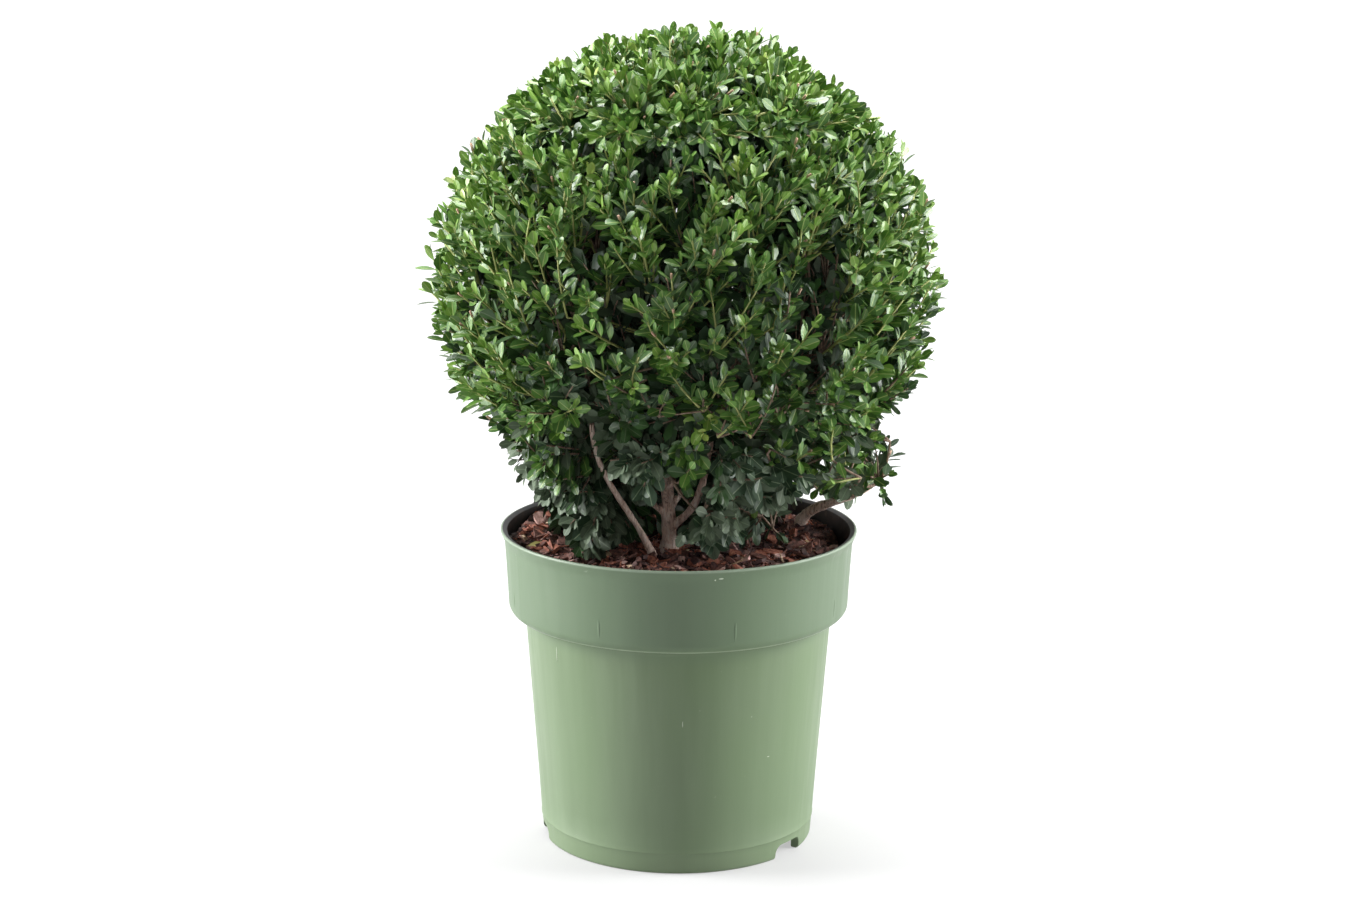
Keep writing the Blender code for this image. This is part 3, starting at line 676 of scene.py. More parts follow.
def inner_wall():
    """The inside from the lip down to the middle of the floor."""
    ledge = POT_HEIGHT - BAND_HEIGHT
    return [
        (BAND_TOP_RADIUS + 0.0002, POT_HEIGHT - 0.0004),
        (BAND_TOP_RADIUS - 0.7 * WALL, POT_HEIGHT - 0.0016),
        (BAND_TOP_RADIUS - WALL, POT_HEIGHT - LIP_HEIGHT),
        (BAND_FOOT_RADIUS - WALL, ledge + BAND_ROUNDING),
        (BODY_TOP_RADIUS - WALL, ledge + WALL),
        (BODY_FOOT_RADIUS - WALL, FLOOR_TOP),
        (0.0, FLOOR_TOP),
    ]


def inner_radius(height):
    """The radius of the inside at a height."""
    for (upper_radius, upper), (lower_radius, lower) in zip(inner_wall(), inner_wall()[1:]):
        if lower < height <= upper:
            return lower_radius + (upper_radius - lower_radius) * (height - lower) / (upper - lower)
    return BODY_FOOT_RADIUS - WALL


def notch_block(azimuth):
    """The block that cuts one drainage arch, its upper corners rounded."""
    depth, sunk = 0.020, 0.010
    bm = bmesh.new()
    bmesh.ops.create_cube(bm, size=1.0)
    bmesh.ops.scale(bm, verts=bm.verts, vec=(depth, NOTCH_WIDTH, NOTCH_HEIGHT + sunk))
    upper = [e for e in bm.edges if all(v.co.z > 0 for v in e.verts) and e.verts[0].co.y == e.verts[1].co.y]
    bmesh.ops.bevel(
        bm, geom=upper, offset=0.6 * NOTCH_HEIGHT, segments=5, profile=0.5, affect="EDGES", material=-1
    )
    turn = Matrix.Rotation(math.radians(azimuth), 4, "Z")
    place = Matrix.Translation(polar(azimuth, FOOT_RADIUS, 0.5 * (NOTCH_HEIGHT - sunk)))
    bmesh.ops.transform(bm, matrix=place @ turn, verts=bm.verts)
    return settle(bm, "notch_block")


def cut_notches(mesh):
    """The mesh with all its drainage arches cut by one Boolean."""
    scene = bpy.context.scene.collection
    body = bpy.data.objects.new("pot_blank", mesh)
    scene.objects.link(body)
    blocks = bpy.data.collections.new("notch_blocks")
    scene.children.link(blocks)
    for azimuth in NOTCH_AZIMUTHS:
        blocks.objects.link(bpy.data.objects.new("notch_block", notch_block(azimuth)))
    cut = body.modifiers.new("Notches", "BOOLEAN")
    cut.operation = "DIFFERENCE"
    cut.operand_type = "COLLECTION"
    cut.collection = blocks
    cut.solver = "EXACT"
    bpy.context.view_layer.update()
    shaped = bpy.data.meshes.new_from_object(body.evaluated_get(bpy.context.evaluated_depsgraph_get()))
    for block in list(blocks.objects):
        bpy.data.objects.remove(block)
    bpy.data.collections.remove(blocks)
    bpy.data.objects.remove(body)
    return shaped


def bosses(name, facts):
    """Low rounded marks on the outside.

    Each is its azimuth, its height, the radius there, and how proud, broad and tall it is.
    """
    bm = bmesh.new()
    for azimuth, height, radius, proud, breadth, tallness in facts:
        boss = bmesh.ops.create_uvsphere(bm, u_segments=12, v_segments=10, radius=1.0)["verts"]
        bmesh.ops.scale(bm, verts=boss, vec=(proud, 0.5 * breadth, 0.5 * tallness))
        turn = Matrix.Rotation(math.radians(azimuth), 4, "Z")
        place = Matrix.Translation(polar(azimuth, radius, height))
        bmesh.ops.transform(bm, matrix=place @ turn @ Matrix.Rotation(WALL_LEAN, 4, "Y"), verts=boss)
    return settle(bm, name)


def stacking_ribs():
    """Short low ribs round the foot of the band, half sunk in it."""
    middle = STACK_RIB_FOOT + 0.5 * STACK_RIB_HEIGHT
    size = (STACK_RIB_PROUD, STACK_RIB_WIDTH, STACK_RIB_HEIGHT)
    facts = []
    for index in range(STACK_RIB_COUNT):
        azimuth = STACK_RIB_FIRST + index * 360 / STACK_RIB_COUNT
        facts.append((azimuth, middle, BAND_FOOT_RADIUS - 0.0002, *size))
    return bosses("pot_ribs", facts)


def make_pot():
    """The moulded pot, black inside and green outside, with its ribs and scuffs."""
    recess = FLOOR_TOP - FLOOR_THICKNESS
    ring = FOOT_RADIUS - FOOT_RING
    under = [(0.0, recess), (ring - 0.0012, recess), (ring, recess - 0.0012)]
    under += [(ring, 0.0006), (ring + 0.0006, 0.0)]
    bm = lathe(under + outer_wall() + inner_wall(), POT_SEGMENTS)
    lip_inside = LIP_RADIUS - 0.0014
    for face in bm.faces:
        middle = face.calc_center_median()
        radius = math.hypot(middle.x, middle.y)
        inward = radius < lip_inside and middle.z > FLOOR_TOP - 1e-4
        outer = radius > inner_radius(min(middle.z, POT_HEIGHT - 0.0005)) + 0.4 * WALL
        face.material_index = 1 if inward and not outer else 0
    mesh = cut_notches(settle(bm, "pot_moulded"))
    green = pot_green()
    show("pot_moulded", mesh, [green, pot_black()], ["pot"], sharp=38)
    show("pot_ribs", stacking_ribs(), [green])
    pale, _, _ = blank("pot_scuff", (0.50, 0.55, 0.44), 0.6)
    show("pot_scuffs", bosses("pot_scuffs", SCUFFS), [pale])


# The bark in the pot


def soil_height(x, y):
    """The surface of the solids: level round the stems and the stump, lower at the wall."""
    radius = math.hypot(x, y)
    waves = math.sin(71 * x + 40 * y + 0.6) + math.sin(-46 * x + 83 * y + 2.1)
    rough = SOIL_BUMP * waves * smoothstep(LEVEL_RADIUS, LEVEL_RADIUS + 0.03, radius)
    dip = SOIL_DIP * smoothstep(0.085, 0.134, radius)
    clearing = math.hypot(x - STUMP_FOOT.x, y - STUMP_FOOT.y)
    return SOIL_LEVEL + (rough - dip) * smoothstep(STUMP_CLEARING, STUMP_CLEARING + 0.014, clearing)


def banked(x, y):
    """How far the loose bark is heaped against the wall: most on the left and at the back."""
    radius = math.hypot(x, y)
    azimuth = math.degrees(math.atan2(y, x))
    away = abs((azimuth - BANK_AZIMUTH + 180) % 360 - 180)
    heap = BANK_LEAST + (BANK_HEIGHT - BANK_LEAST) * smoothstep(BANK_SPREAD, 25.0, away)
    return heap * smoothstep(0.060, 0.118, radius)


def crumbled_height(x, y):
    """The same surface with its heaps and crumbs."""
    lumps = noise.fractal(Vector((x, y, 0.0)) * 95, 0.9, 2.1, 5)
    return soil_height(x, y) + banked(x, y) + CRUMB_RELIEF * lumps


def make_soil():
    """The bed of crumbled bark that fills the pot."""
    edge = inner_radius(SOIL_LEVEL) - WALL_GAP
    rings = [edge * math.sqrt(index / BED_RINGS) for index in range(BED_RINGS, 0, -1)]
    low = FLOOR_TOP + SEAT_GAP
    ledge = POT_HEIGHT - BAND_HEIGHT
    side = [(inner_radius(level) - WALL_GAP, level) for level in (low, ledge, ledge + BAND_ROUNDING)]
    profile = [(0.0, low)] + side + [(ring, SOIL_LEVEL) for ring in rings] + [(0.0, SOIL_LEVEL)]
    bm = lathe(profile, BED_SEGMENTS)
    for vert in bm.verts:
        if vert.co.z < SOIL_LEVEL - 1e-5:
            continue
        radius = math.hypot(vert.co.x, vert.co.y)
        vert.co.z = crumbled_height(vert.co.x, vert.co.y)
        limit = inner_radius(vert.co.z) - WALL_GAP
        if radius > limit:
            vert.co.xy *= limit / radius
    show("bark_bed", settle(bm, "bark_bed"), [crumb_brown()], ["mulch"])


def crumb_shape(seed):
    """A rough crumb of bark in a unit box."""
    bm = bmesh.new()
    bmesh.ops.create_icosphere(bm, subdivisions=1, radius=0.5)
    rng = random.Random(seed)
    for vert in bm.verts:
        vert.co *= rng.uniform(0.75, 1.15)
    bmesh.ops.recalc_face_normals(bm, faces=bm.faces)
    return template(bm)


def chip_shape(seed, points):
    """A rough flat chip of bark in a unit box."""
    bm = bmesh.new()
    bmesh.ops.create_cube(bm, size=1.0)
    bmesh.ops.subdivide_edges(bm, edges=bm.edges, cuts=1)
    rng = random.Random(seed)
    for vert in bm.verts:
        flat = math.hypot(vert.co.x, vert.co.y)
        if flat > 1e-6:
            vert.co.xy *= (0.5 / max(flat, 0.5)) ** points * rng.uniform(0.72, 1.06)
        vert.co.z += rng.uniform(-0.16, 0.16)
    bmesh.ops.recalc_face_normals(bm, faces=bm.faces)
    return template(bm)


def scatter(name, shape, count, sizes, kinds, sink, rng, lean):
    """Lays copies of a shape on the bark bed, each turned and leaning its own way.

    sizes are ranges of length, breadth and thickness, and kinds the weight of each finish.
    """
    corners = shape[0]
    places, chosen = [], []
    edge = inner_radius(SOIL_LEVEL - SOIL_DIP) - 0.003
    while len(places) < count:
        radius = edge * math.sqrt(rng.random())
        azimuth = rng.uniform(0, 360)
        spot = polar(azimuth, radius, 0.0)
        size = Vector([rng.uniform(*pair) for pair in sizes])
        if radius + 0.5 * max(size) > edge + 0.003:
            continue
        spot.z = crumbled_height(spot.x, spot.y) + size.z * sink
        turn = Matrix.Rotation(rng.uniform(0, 2 * math.pi), 3, "Z")
        tilt = Matrix.Rotation(rng.gauss(0, lean), 3, "X") @ Matrix.Rotation(rng.gauss(0, lean), 3, "Y")
        matrix = np.array(turn @ tilt)
        places.append((corners * np.array(size)) @ matrix.T + np.array(spot))
        chosen.append(rng.choices(range(len(kinds)), kinds)[0])
    return repeat(name, shape, places, chosen)


def make_chips():
    """Crumbs, chips, broad flakes and fibres of bark on the bed."""
    rng = random.Random(f"chips {SEED}")
    tones = [
        chip("chip_dark", (0.024, 0.012, 0.011), (0.110, 0.047, 0.039)),
        chip("chip_brown", (0.070, 0.030, 0.024), (0.270, 0.122, 0.094)),
        chip("chip_red", (0.180, 0.052, 0.034), (0.540, 0.210, 0.135)),
        chip("chip_pink", (0.340, 0.180, 0.150), (0.720, 0.470, 0.410)),
        chip("chip_tan", (0.330, 0.210, 0.120), (0.700, 0.540, 0.370)),
    ]
    crumbs = ((0.0018, 0.0050), (0.0014, 0.0036), (0.0012, 0.0028))
    mesh = scatter("bark_crumbs", crumb_shape(1), 2600, crumbs, (6, 4, 0.9, 0.4, 0.25), 0.25, rng, 0.6)
    show("bark_crumbs", mesh, tones, sharp=30)
    flakes = ((0.008, 0.021), (0.004, 0.010), (0.0012, 0.0030))
    mesh = scatter("bark_chips", chip_shape(2, 0.5), 560, flakes, (3, 5, 3.2, 1.2, 0.4), 0.3, rng, 0.45)
    show("bark_chips", mesh, tones, sharp=30)
    flat = chip_shape(4, 0.6)
    places = []
    for x, y, length, breadth, lean, _ in FLAKES:
        turn = Matrix.Rotation(math.radians(lean), 3, "X") @ Matrix.Rotation(rng.uniform(-0.6, 0.6), 3, "Z")
        lift = 0.0022 + 0.3 * breadth * math.sin(math.radians(lean))
        spot = (x, y, crumbled_height(x, y) + lift)
        places.append((flat[0] * (length, breadth, FLAKE_THICKNESS)) @ np.array(turn).T + spot)
    mesh = repeat("bark_flakes", flat, places, [flake[-1] for flake in FLAKES])
    show("bark_flakes", mesh, tones, sharp=30)
    fibres = ((0.010, 0.030), (0.0006, 0.0013), (0.0005, 0.0011))
    mesh = scatter("bark_fibres", chip_shape(3, 0.2), 620, fibres, (1.5, 4, 4, 0.6, 1.0), 0.9, rng, 0.28)
    show("bark_fibres", mesh, tones, sharp=30)


def make_fallen():
    """A few dropped leaves on the bark."""
    rng = random.Random(f"fallen {SEED}")
    corners, faces, kinds = leaf_shape(True, BLADE_ROWS)
    places, chosen = [], []
    for x, y, heading, length, finish in FALLEN:
        lean = Matrix.Rotation(rng.gauss(0, 0.2), 3, "X") @ Matrix.Rotation(rng.gauss(0, 0.25), 3, "Y")
        turn = np.array(Matrix.Rotation(math.radians(heading - 90), 3, "Z") @ lean)
        shape = corners * (0.5 * length, length, 0.5 * length)
        places.append(shape @ turn.T + (x, y, crumbled_height(x, y) + 0.0026))
        chosen.append([2 if kind else finish for kind in kinds])
    finishes = [
        leaf("fallen_yellow", (0.62, 0.58, 0.20), 0.6),
        leaf("fallen_brown", (0.36, 0.21, 0.10), 0.7),
        leaf("fallen_rib", (0.55, 0.42, 0.24), 0.7),
    ]
    mesh = repeat("fallen_leaves", (corners, faces, kinds), places, chosen)
    show("fallen_leaves", mesh, finishes)


# Stems and boughs


class Limb:
    """One tapering limb along the solids' curve, with its directions at both ends."""

    def __init__(self, start, heading, end, arrival, radius, tip_radius, steps=6):
        self.heading, self.arrival = heading.normalized(), arrival.normalized()
        self.radius, self.tip_radius = radius, tip_radius
        self.start, self.end = start, end
        self.points = self.curve(steps)

    def curve(self, steps):
        """Points along the limb, from its start to its end."""
        reach = (self.end - self.start).length
        points = []
        for index in range(steps + 1):
            t = index / steps
            points.append(
                self.start * (2 * t**3 - 3 * t**2 + 1)
                + self.heading * reach * (t**3 - 2 * t**2 + t)
                + self.end * (3 * t**2 - 2 * t**3)
                + self.arrival * reach * (t**3 - t**2)
            )
        return points

    def radius_at(self, share):
        return self.radius + (self.tip_radius - self.radius) * share

    def point_at_height(self, height):
        """The point at a height, and how far along the limb it lies."""
        for index, (a, b) in enumerate(zip(self.points, self.points[1:])):
            if a.z <= height <= b.z:
                share = (height - a.z) / (b.z - a.z)
                return a.lerp(b, share), (index + share) / (len(self.points) - 1)
        raise ValueError(height)

    def distance(self, point):
        """How far a point lies from this limb's surface."""
        nearest = math.inf
        last = len(self.points) - 1
        for index, (a, b) in enumerate(zip(self.points, self.points[1:])):
            along = b - a
            share = min(1.0, max(0.0, (point - a).dot(along) / along.length_squared))
            gap = (point - a - along * share).length - self.radius_at((index + share) / last)
            nearest = min(nearest, gap)
        return nearest

    def onward(self, length, tip_radius, steps=2):
        """A straight limb that goes on from this one's tip."""
        start = self.points[-1] + self.arrival * SEAT_GAP
        end = start + self.arrival * length
        return Limb(start, self.arrival, end, self.arrival, self.tip_radius, tip_radius, steps)


def root_flare(share, turn):
    """How far a stem swells at its foot, with three low buttresses."""
    foot = math.exp(-14 * share)
    return 1 + foot * (0.42 + 0.16 * math.cos(3 * turn + 0.5))


def collar(trunk, azimuth, height, radius):
    """The short stub that a bough springs from, as a limb from the trunk's axis to its flat end."""
    start, share = trunk.point_at_height(height)
    heading = polar(azimuth, math.cos(BOUGH_RISE), math.sin(BOUGH_RISE))
    end = start + heading * (trunk.radius_at(share) + COLLAR_LENGTH)
    return Limb(start, heading, end, heading, radius + COLLAR_SWELL, radius, steps=1)


def plan_limbs():
    """Every stem and bough by name, and the trunk's collars, as in the solids."""
    up = Vector((0, 0, 1))
    leaning = Vector((-0.02, 0.05, 1))
    trunk = Limb(TRUNK_FOOT, Vector((0.05, 0, 1)), TRUNK_FORK, leaning, TRUNK_RADIUS, FORK_RADIUS)
    limbs = {"trunk": trunk}
    limbs["stem_left"] = Limb(
        LEFT_FOOT, LEFT_HEADING, LEFT_TIP, Vector((-0.06, -0.06, 1)), LEFT_RADIUS, STEM_TIP_RADIUS
    )
    limbs["stem_right"] = Limb(
        STUMP_FOOT, Vector((-0.2, 0.1, 1)), LOW_BOUGH_TIP, LOW_BOUGH_HEADING, STUMP_RADIUS, STEM_TIP_RADIUS
    )
    leader_foot = TRUNK_FORK + trunk.arrival * SEAT_GAP
    leader_tip = Vector((BALL_CENTRE.x, BALL_CENTRE.y, TOP_LEVEL - LEADER_DROP))
    limbs["bough_top"] = Limb(leader_foot, trunk.arrival, leader_tip, up, FORK_RADIUS, STEM_TIP_RADIUS)
    collars = {}
    for name, (azimuth, height, tip_azimuth, tip_height, radius) in BOUGHS.items():
        stub = collar(trunk, azimuth, height, radius)
        collars[name] = stub
        start = stub.points[-1] + stub.heading * SEAT_GAP
        tip = polar(tip_azimuth, BOUGH_TIP_DISTANCE, tip_height)
        outward = polar(tip_azimuth, 1.0, 0.35)
        limbs[name] = Limb(start, stub.heading, tip, outward, radius, BOUGH_TAPER * radius)
    return limbs, collars


def tube_shape(sides, rings):
    """A closed tube whose rings lie at heights 0, 1, 2 and so on."""
    bm = bmesh.new()
    bmesh.ops.create_circle(bm, cap_ends=True, segments=sides, radius=1.0)
    cap = bm.faces[:][0]
    for step in range(rings - 1):
        moved = bmesh.ops.extrude_face_region(bm, geom=[cap])["geom"]
        if step:
            bmesh.ops.delete(bm, geom=[cap], context="FACES_ONLY")
        cap = next(item for item in moved if isinstance(item, bmesh.types.BMFace))
        bmesh.ops.translate(bm, verts=cap.verts, vec=(0, 0, 1))
    bmesh.ops.recalc_face_normals(bm, faces=bm.faces)
    return template(bm)


def tubes(shape, paths, radii):
    """The corners of many tubes. paths are (tubes, rings, 3), and radii (tubes, rings)."""
    corners = shape[0]
    ring = np.rint(corners[:, 2]).astype(int)
    turn = np.arctan2(corners[:, 1], corners[:, 0])
    ahead = np.gradient(paths, axis=1)
    side, across, _ = frames_along(ahead, np.array((0.12, 0.05, 1.0)))
    reach = side[:, ring] * np.cos(turn)[None, :, None] + across[:, ring] * np.sin(turn)[None, :, None]
    return paths[:, ring] + reach * radii[:, ring][..., None]


def bark_tube(name, limb, sink, steps, sides, swell=None, past=0.0):
    """A limb with its bark's relief: long ridges, flakes and a swelling now and then."""
    points = limb.curve(steps)
    points[0] = points[0] - limb.heading * sink
    if past:
        points.append(points[-1] + limb.arrival * past)
    path = np.array([point[:] for point in points])[None]
    shares = [min(1.0, index / steps) for index in range(len(points))]
    radii = np.array([limb.radius_at(share) for share in shares])[None]
    shape = tube_shape(sides, len(points))
    places = tubes(shape, path, radii)[0]
    axis = path[0][np.rint(shape[0][:, 2]).astype(int)]
    for index, place in enumerate(places):
        share = shares[round(shape[0][index, 2])]
        turn = math.atan2(shape[0][index, 1], shape[0][index, 0])
        spot = Vector(place)
        ridges = noise.fractal(Vector((spot.x * 520, spot.y * 520, spot.z * 110)), 0.8, 2.0, 3)
        lumps = noise.noise(Vector((spot.x * 75, spot.y * 75, spot.z * 105)))
        grown = 0.90 + 0.13 * ridges + 0.20 * lumps
        if swell:
            grown *= swell(share, turn)
        places[index] = axis[index] + (place - axis[index]) * grown
    return repeat(name, shape, places[None], [0])


def collar_swell(share, _):
    """How far a bough's stub swells towards the trunk, the same all round."""
    return 1 + 0.5 * (1 - share) ** 2


def make_limbs(limbs, collars):
    """The barked trunk, stems and boughs, each bough with the stub that it springs from."""
    finish = bark("stem_bark", (0.340, 0.210, 0.160), (0.80, 0.585, 0.475), (0.93, 0.80, 0.71))
    for name, limb in limbs.items():
        from_ground = name.startswith(("trunk", "stem"))
        length = sum((b - a).length for a, b in zip(limb.points, limb.points[1:]))
        steps = max(LEAST_BARK_STEPS, round(length / BARK_STEP))
        sides = TRUNK_SIDES if name == "trunk" else STEM_SIDES
        sink, swell = (STEM_ROOT, root_flare) if from_ground else (0.0, None)
        grown = bark_tube(name + "_bark", limb, sink, steps, sides, swell, BARK_PAST)
        if name in collars:
            joint = bark_tube(name + "_root", collars[name], 0.0, 8, STEM_SIDES, collar_swell, COLLAR_PAST)
            grown = merged(name + "_bark", [grown, joint])
        show(name + "_bark", grown, [finish], [name], sharp=60)


def merged(name, meshes):
    """Several meshes as one."""
    bm = bmesh.new()
    for mesh in meshes:
        bm.from_mesh(mesh)
    joined = bpy.data.meshes.new(name)
    bm.to_mesh(joined)
    bm.free()
    joined.shade_smooth()
    return joined


# How the foliage grows


class Room:
    """The space that a mass's twigs keep to, as in the solids."""

    def __init__(self, planes, reach=BALL_RADIUS, spread=math.inf):
        self.planes, self.reach, self.spread = planes, reach, spread

    def holds(self, point):
        if (point - BALL_CENTRE).length > self.reach or math.hypot(point.x, point.y) > self.spread:
            return False
        return all(normal.dot(point) <= limit - ROOM_GAP for normal, limit in self.planes)


def sector(low, high, floor, ceiling):
    """The planes round a mass between two azimuths and two levels, clear of the trunk."""
    middle = 0.5 * (low + high)
    return [
        (polar(low - 90, 1.0, 0.0), 0.0),
        (polar(high + 90, 1.0, 0.0), 0.0),
        (Vector((0, 0, -1)), -floor),
        (Vector((0, 0, 1)), ceiling),
        (polar(middle + 180, 1.0, 0.0), -HOLLOW_RADIUS),
    ]


def shell_points(room, shells, rng):
    """The points of every shell that lie in the room, as (point, index of the shell)."""
    points = []
    for shell, (share, count) in enumerate(shells):
        for index in range(count):
            height = 1 - (2 * index + 1) / count
            turn = index * LEAF_TURN + shell
            flat = math.sqrt(1 - height * height)
            aside = Vector([rng.uniform(-SHELL_JITTER, SHELL_JITTER) for _ in range(3)])
            outward = (Vector((flat * math.cos(turn), flat * math.sin(turn), height)) + aside).normalized()
            point = BALL_CENTRE + outward * room.reach * share * rng.uniform(0.985, 1.01)
            if room.holds(point):
                points.append((point, shell))
    return points


class Growth:
    """The wood of one mass: nodes, each joined to an earlier one."""

    def __init__(self, foot):
        self.points = [foot]
        self.paths = [0.0]
        self.parents = [-1]
        self.leafy = set()

    def nearest(self, point, lift=0.0):
        """The node that a point joins: near, with a short path to the stem, and not above it."""
        nodes = np.array([node[:] for node in self.points])
        offset = np.array(point[:]) - nodes
        gap = np.linalg.norm(offset, axis=1)
        cost = gap + PATH_WEIGHT * np.array(self.paths) + lift * np.maximum(0.0, -offset[:, 2])
        return int(np.argmin(cost))

    def join(self, point, parent):
        """Adds a node at a point, joined to an earlier one."""
        self.points.append(point)
        self.paths.append(self.paths[parent] + (point - self.points[parent]).length)
        self.parents.append(parent)
        return len(self.points) - 1

    def grow(self, points, limbs):
        """The solids' rule: each point joins the node that is nearest by distance and path."""
        foot = self.points[0]
        for point, _ in sorted(points, key=lambda item: (item[1], (item[0] - foot).length)):
            parent = self.nearest(point)
            start = self.points[parent]
            steps = [start.lerp(point, 0.1 * index) for index in range(1, 11)]
            if min(limb.distance(step) for limb in limbs for step in steps) < TWIG_RADIUS + LIMB_CLEARANCE:
                continue
            self.join(point, parent)

    def refine(self, points):
        """Joins later, finer points to the wood, from the inside outwards."""
        for point in sorted(points, key=lambda item: (item - BALL_CENTRE).length):
            self.join(point, self.nearest(point, lift=0.6))

    def bear(self, node):
        """Marks the wood from a node down to the stem as bearing leaves."""
        while node >= 0 and node not in self.leafy:
            self.leafy.add(node)
            node = self.parents[node]

    def loads(self):
        """How many nodes each node carries."""
        carried = [1] * len(self.points)
        for index in range(len(self.points) - 1, 0, -1):
            carried[self.parents[index]] += carried[index]
        return carried


# Leaves, twigs and shoots

TINTS = {
    "leaf_young": (0.330, 0.430, 0.100),
    "leaf_fresh": (0.172, 0.310, 0.050),
    "leaf_bright": (0.103, 0.226, 0.038),
    "leaf_green": (0.062, 0.148, 0.029),
    "leaf_deep": (0.037, 0.090, 0.025),
    "leaf_dark": (0.026, 0.056, 0.025),
    # A grey green: partly old dusty leaves, partly their pale sheen painted in.
    "leaf_grey": (0.094, 0.130, 0.080),
}
RIBS = {
    "rib_light": (0.34, 0.44, 0.15),
    "rib_dull": (0.14, 0.19, 0.11),
}
YOUNG, FRESH, BRIGHT, GREEN, DEEP, DARK, GREY, RIB_LIGHT, RIB_DULL = range(9)
BROWN_WOOD, GREEN_WOOD, CUT_WOOD = range(3)
# How high a shoot's tint value, painted light included, is at least for each tint, the brightest first; below
# the last limit it is dark.
TINT_STEPS = ((0.98, FRESH), (0.52, BRIGHT), (0.22, GREEN))
DARK_BELOW = -0.02
# Roughness and gloss of a leaf, and of the dull kinds.
WAXY = (0.36, 0.66)
DULL = {"leaf_dark": (0.50, 0.42), "leaf_grey": (0.60, 0.34)}
# Rows of a blade: place along it, half its breadth, and how far it bends down, as shares.
BLADE_ROWS = (
    (0.12, 0.08, 0.00),
    (0.33, 0.62, 0.015),
    (0.56, 0.96, 0.010),
    (0.77, 0.87, -0.02),
    (0.93, 0.48, -0.06),
)
PLAIN_ROWS = ((0.30, 0.60, 0.010), (0.72, 0.98, -0.01))
RIB_HALF = 0.070
BLADE_CUP = 0.17


def leaf_shape(rib, blade):
    """A blade with a petiole and, if wanted, a light rib: along +Y, facing +Z, 1 long and 1 broad."""
    columns = 3 if rib else 2
    bm = bmesh.new()
    bmesh.ops.create_grid(bm, x_segments=columns, y_segments=len(blade) + 1, size=0.5)
    rows = [(0.0, 0.035, -0.02)] + list(blade) + [(1.0, 0.0, -0.085)]
    for vert in bm.verts:
        row = round((vert.co.y + 0.5) * (len(rows) - 1))
        column = round((vert.co.x + 0.5) * columns)
        place, breadth, drop = rows[row]
        across = 2 * column / columns - 1
        if rib and 0 < column < columns:
            across = math.copysign(min(RIB_HALF, breadth), across)
        else:
            across *= breadth
        vert.co = (0.5 * across, place, BLADE_CUP * across * across + drop)
    for face in bm.faces:
        middle = face.calc_center_median()
        if rib and (abs(middle.x) < 0.02 or middle.y < 0.12):
            face.material_index = 1
    bmesh.ops.remove_doubles(bm, verts=bm.verts, dist=1e-4)
    return template(bm)


class Leaves:
    """Leaves gathered for one piece, then joined into one mesh."""

    def __init__(self):
        self.roots, self.headings, self.normals, self.sizes, self.tints = [], [], [], [], []

    def add(self, root, heading, normal, length, breadth, cup, tint):
        self.roots.append(root[:])
        self.headings.append(heading[:])
        self.normals.append(normal[:])
        self.sizes.append((breadth, length, cup * breadth))
        self.tints.append(tint)

    def mesh(self, name, shape):
        corners, _, kinds = shape
        heading = np.array(self.headings)
        heading /= np.linalg.norm(heading, axis=1, keepdims=True)
        normal = np.array(self.normals)
        normal -= heading * np.sum(normal * heading, axis=1, keepdims=True)
        normal /= np.linalg.norm(normal, axis=1, keepdims=True)
        across = np.cross(heading, normal)
        sizes = np.array(self.sizes)
        scaled = corners[None] * sizes[:, None, :]
        places = (
            np.array(self.roots)[:, None]
            + scaled[..., 0:1] * across[:, None]
            + scaled[..., 1:2] * heading[:, None]
            + scaled[..., 2:3] * normal[:, None]
        )
        tints = np.array(self.tints)
        ribs = np.where(tints <= GREEN, RIB_LIGHT, RIB_DULL)
        ribbed = np.array(kinds, bool)
        chosen = np.where(ribbed[None, :], ribs[:, None], tints[:, None])
        return repeat(name, shape, places, chosen)


def lively_and_painted_light(point, rng):
    """The tint of a shoot: fresh on top, deep below, darker farther inside the ball as painted shade, lighter
    at both sides and most on the left as painted side light, grey by the soil.
    """
    height = (point.z - BALL_CENTRE.z) / BALL_RADIUS
    share = (point - BALL_CENTRE).length / BALL_RADIUS
    patch = noise.noise(point * 22)
    # Farther in, the tint is darker: painted shade inside the ball.
    value = 0.47 + 0.34 * height + 1.6 * (share - 0.95) + 0.32 * patch + rng.gauss(0, 0.17)
    if height < -0.50:
        value -= 1.2 * (-0.50 - height)
    if value <= DARK_BELOW:
        return GREY if point.z < GREY_LEVEL and rng.random() < 0.55 else DARK
    # Painted side light: leaves lighter at both sides of the ball, more so on the left.
    value += 0.9 * abs(point.x) - 0.45 * point.x - 0.06
    for least, tint in TINT_STEPS:
        if value > least:
            return tint
    return DEEP


def shoot_path(start, heading, end, steps=5):
    """A gentle curve that leaves its twig along the heading."""
    reach = (end - start).length
    bend = start + heading * 0.45 * reach
    points = []
    for index in range(steps):
        t = index / (steps - 1)
        points.append(start * (1 - t) ** 2 + bend * 2 * t * (1 - t) + end * t * t)
    return points


def along_path(points, distance):
    """The point and direction at a distance back from a path's tip."""
    for a, b in zip(points[::-1], points[-2::-1]):
        step = (a - b).length
        if distance <= step:
            return a.lerp(b, distance / step), (a - b).normalized()
        distance -= step
    return points[0], (points[1] - points[0]).normalized()


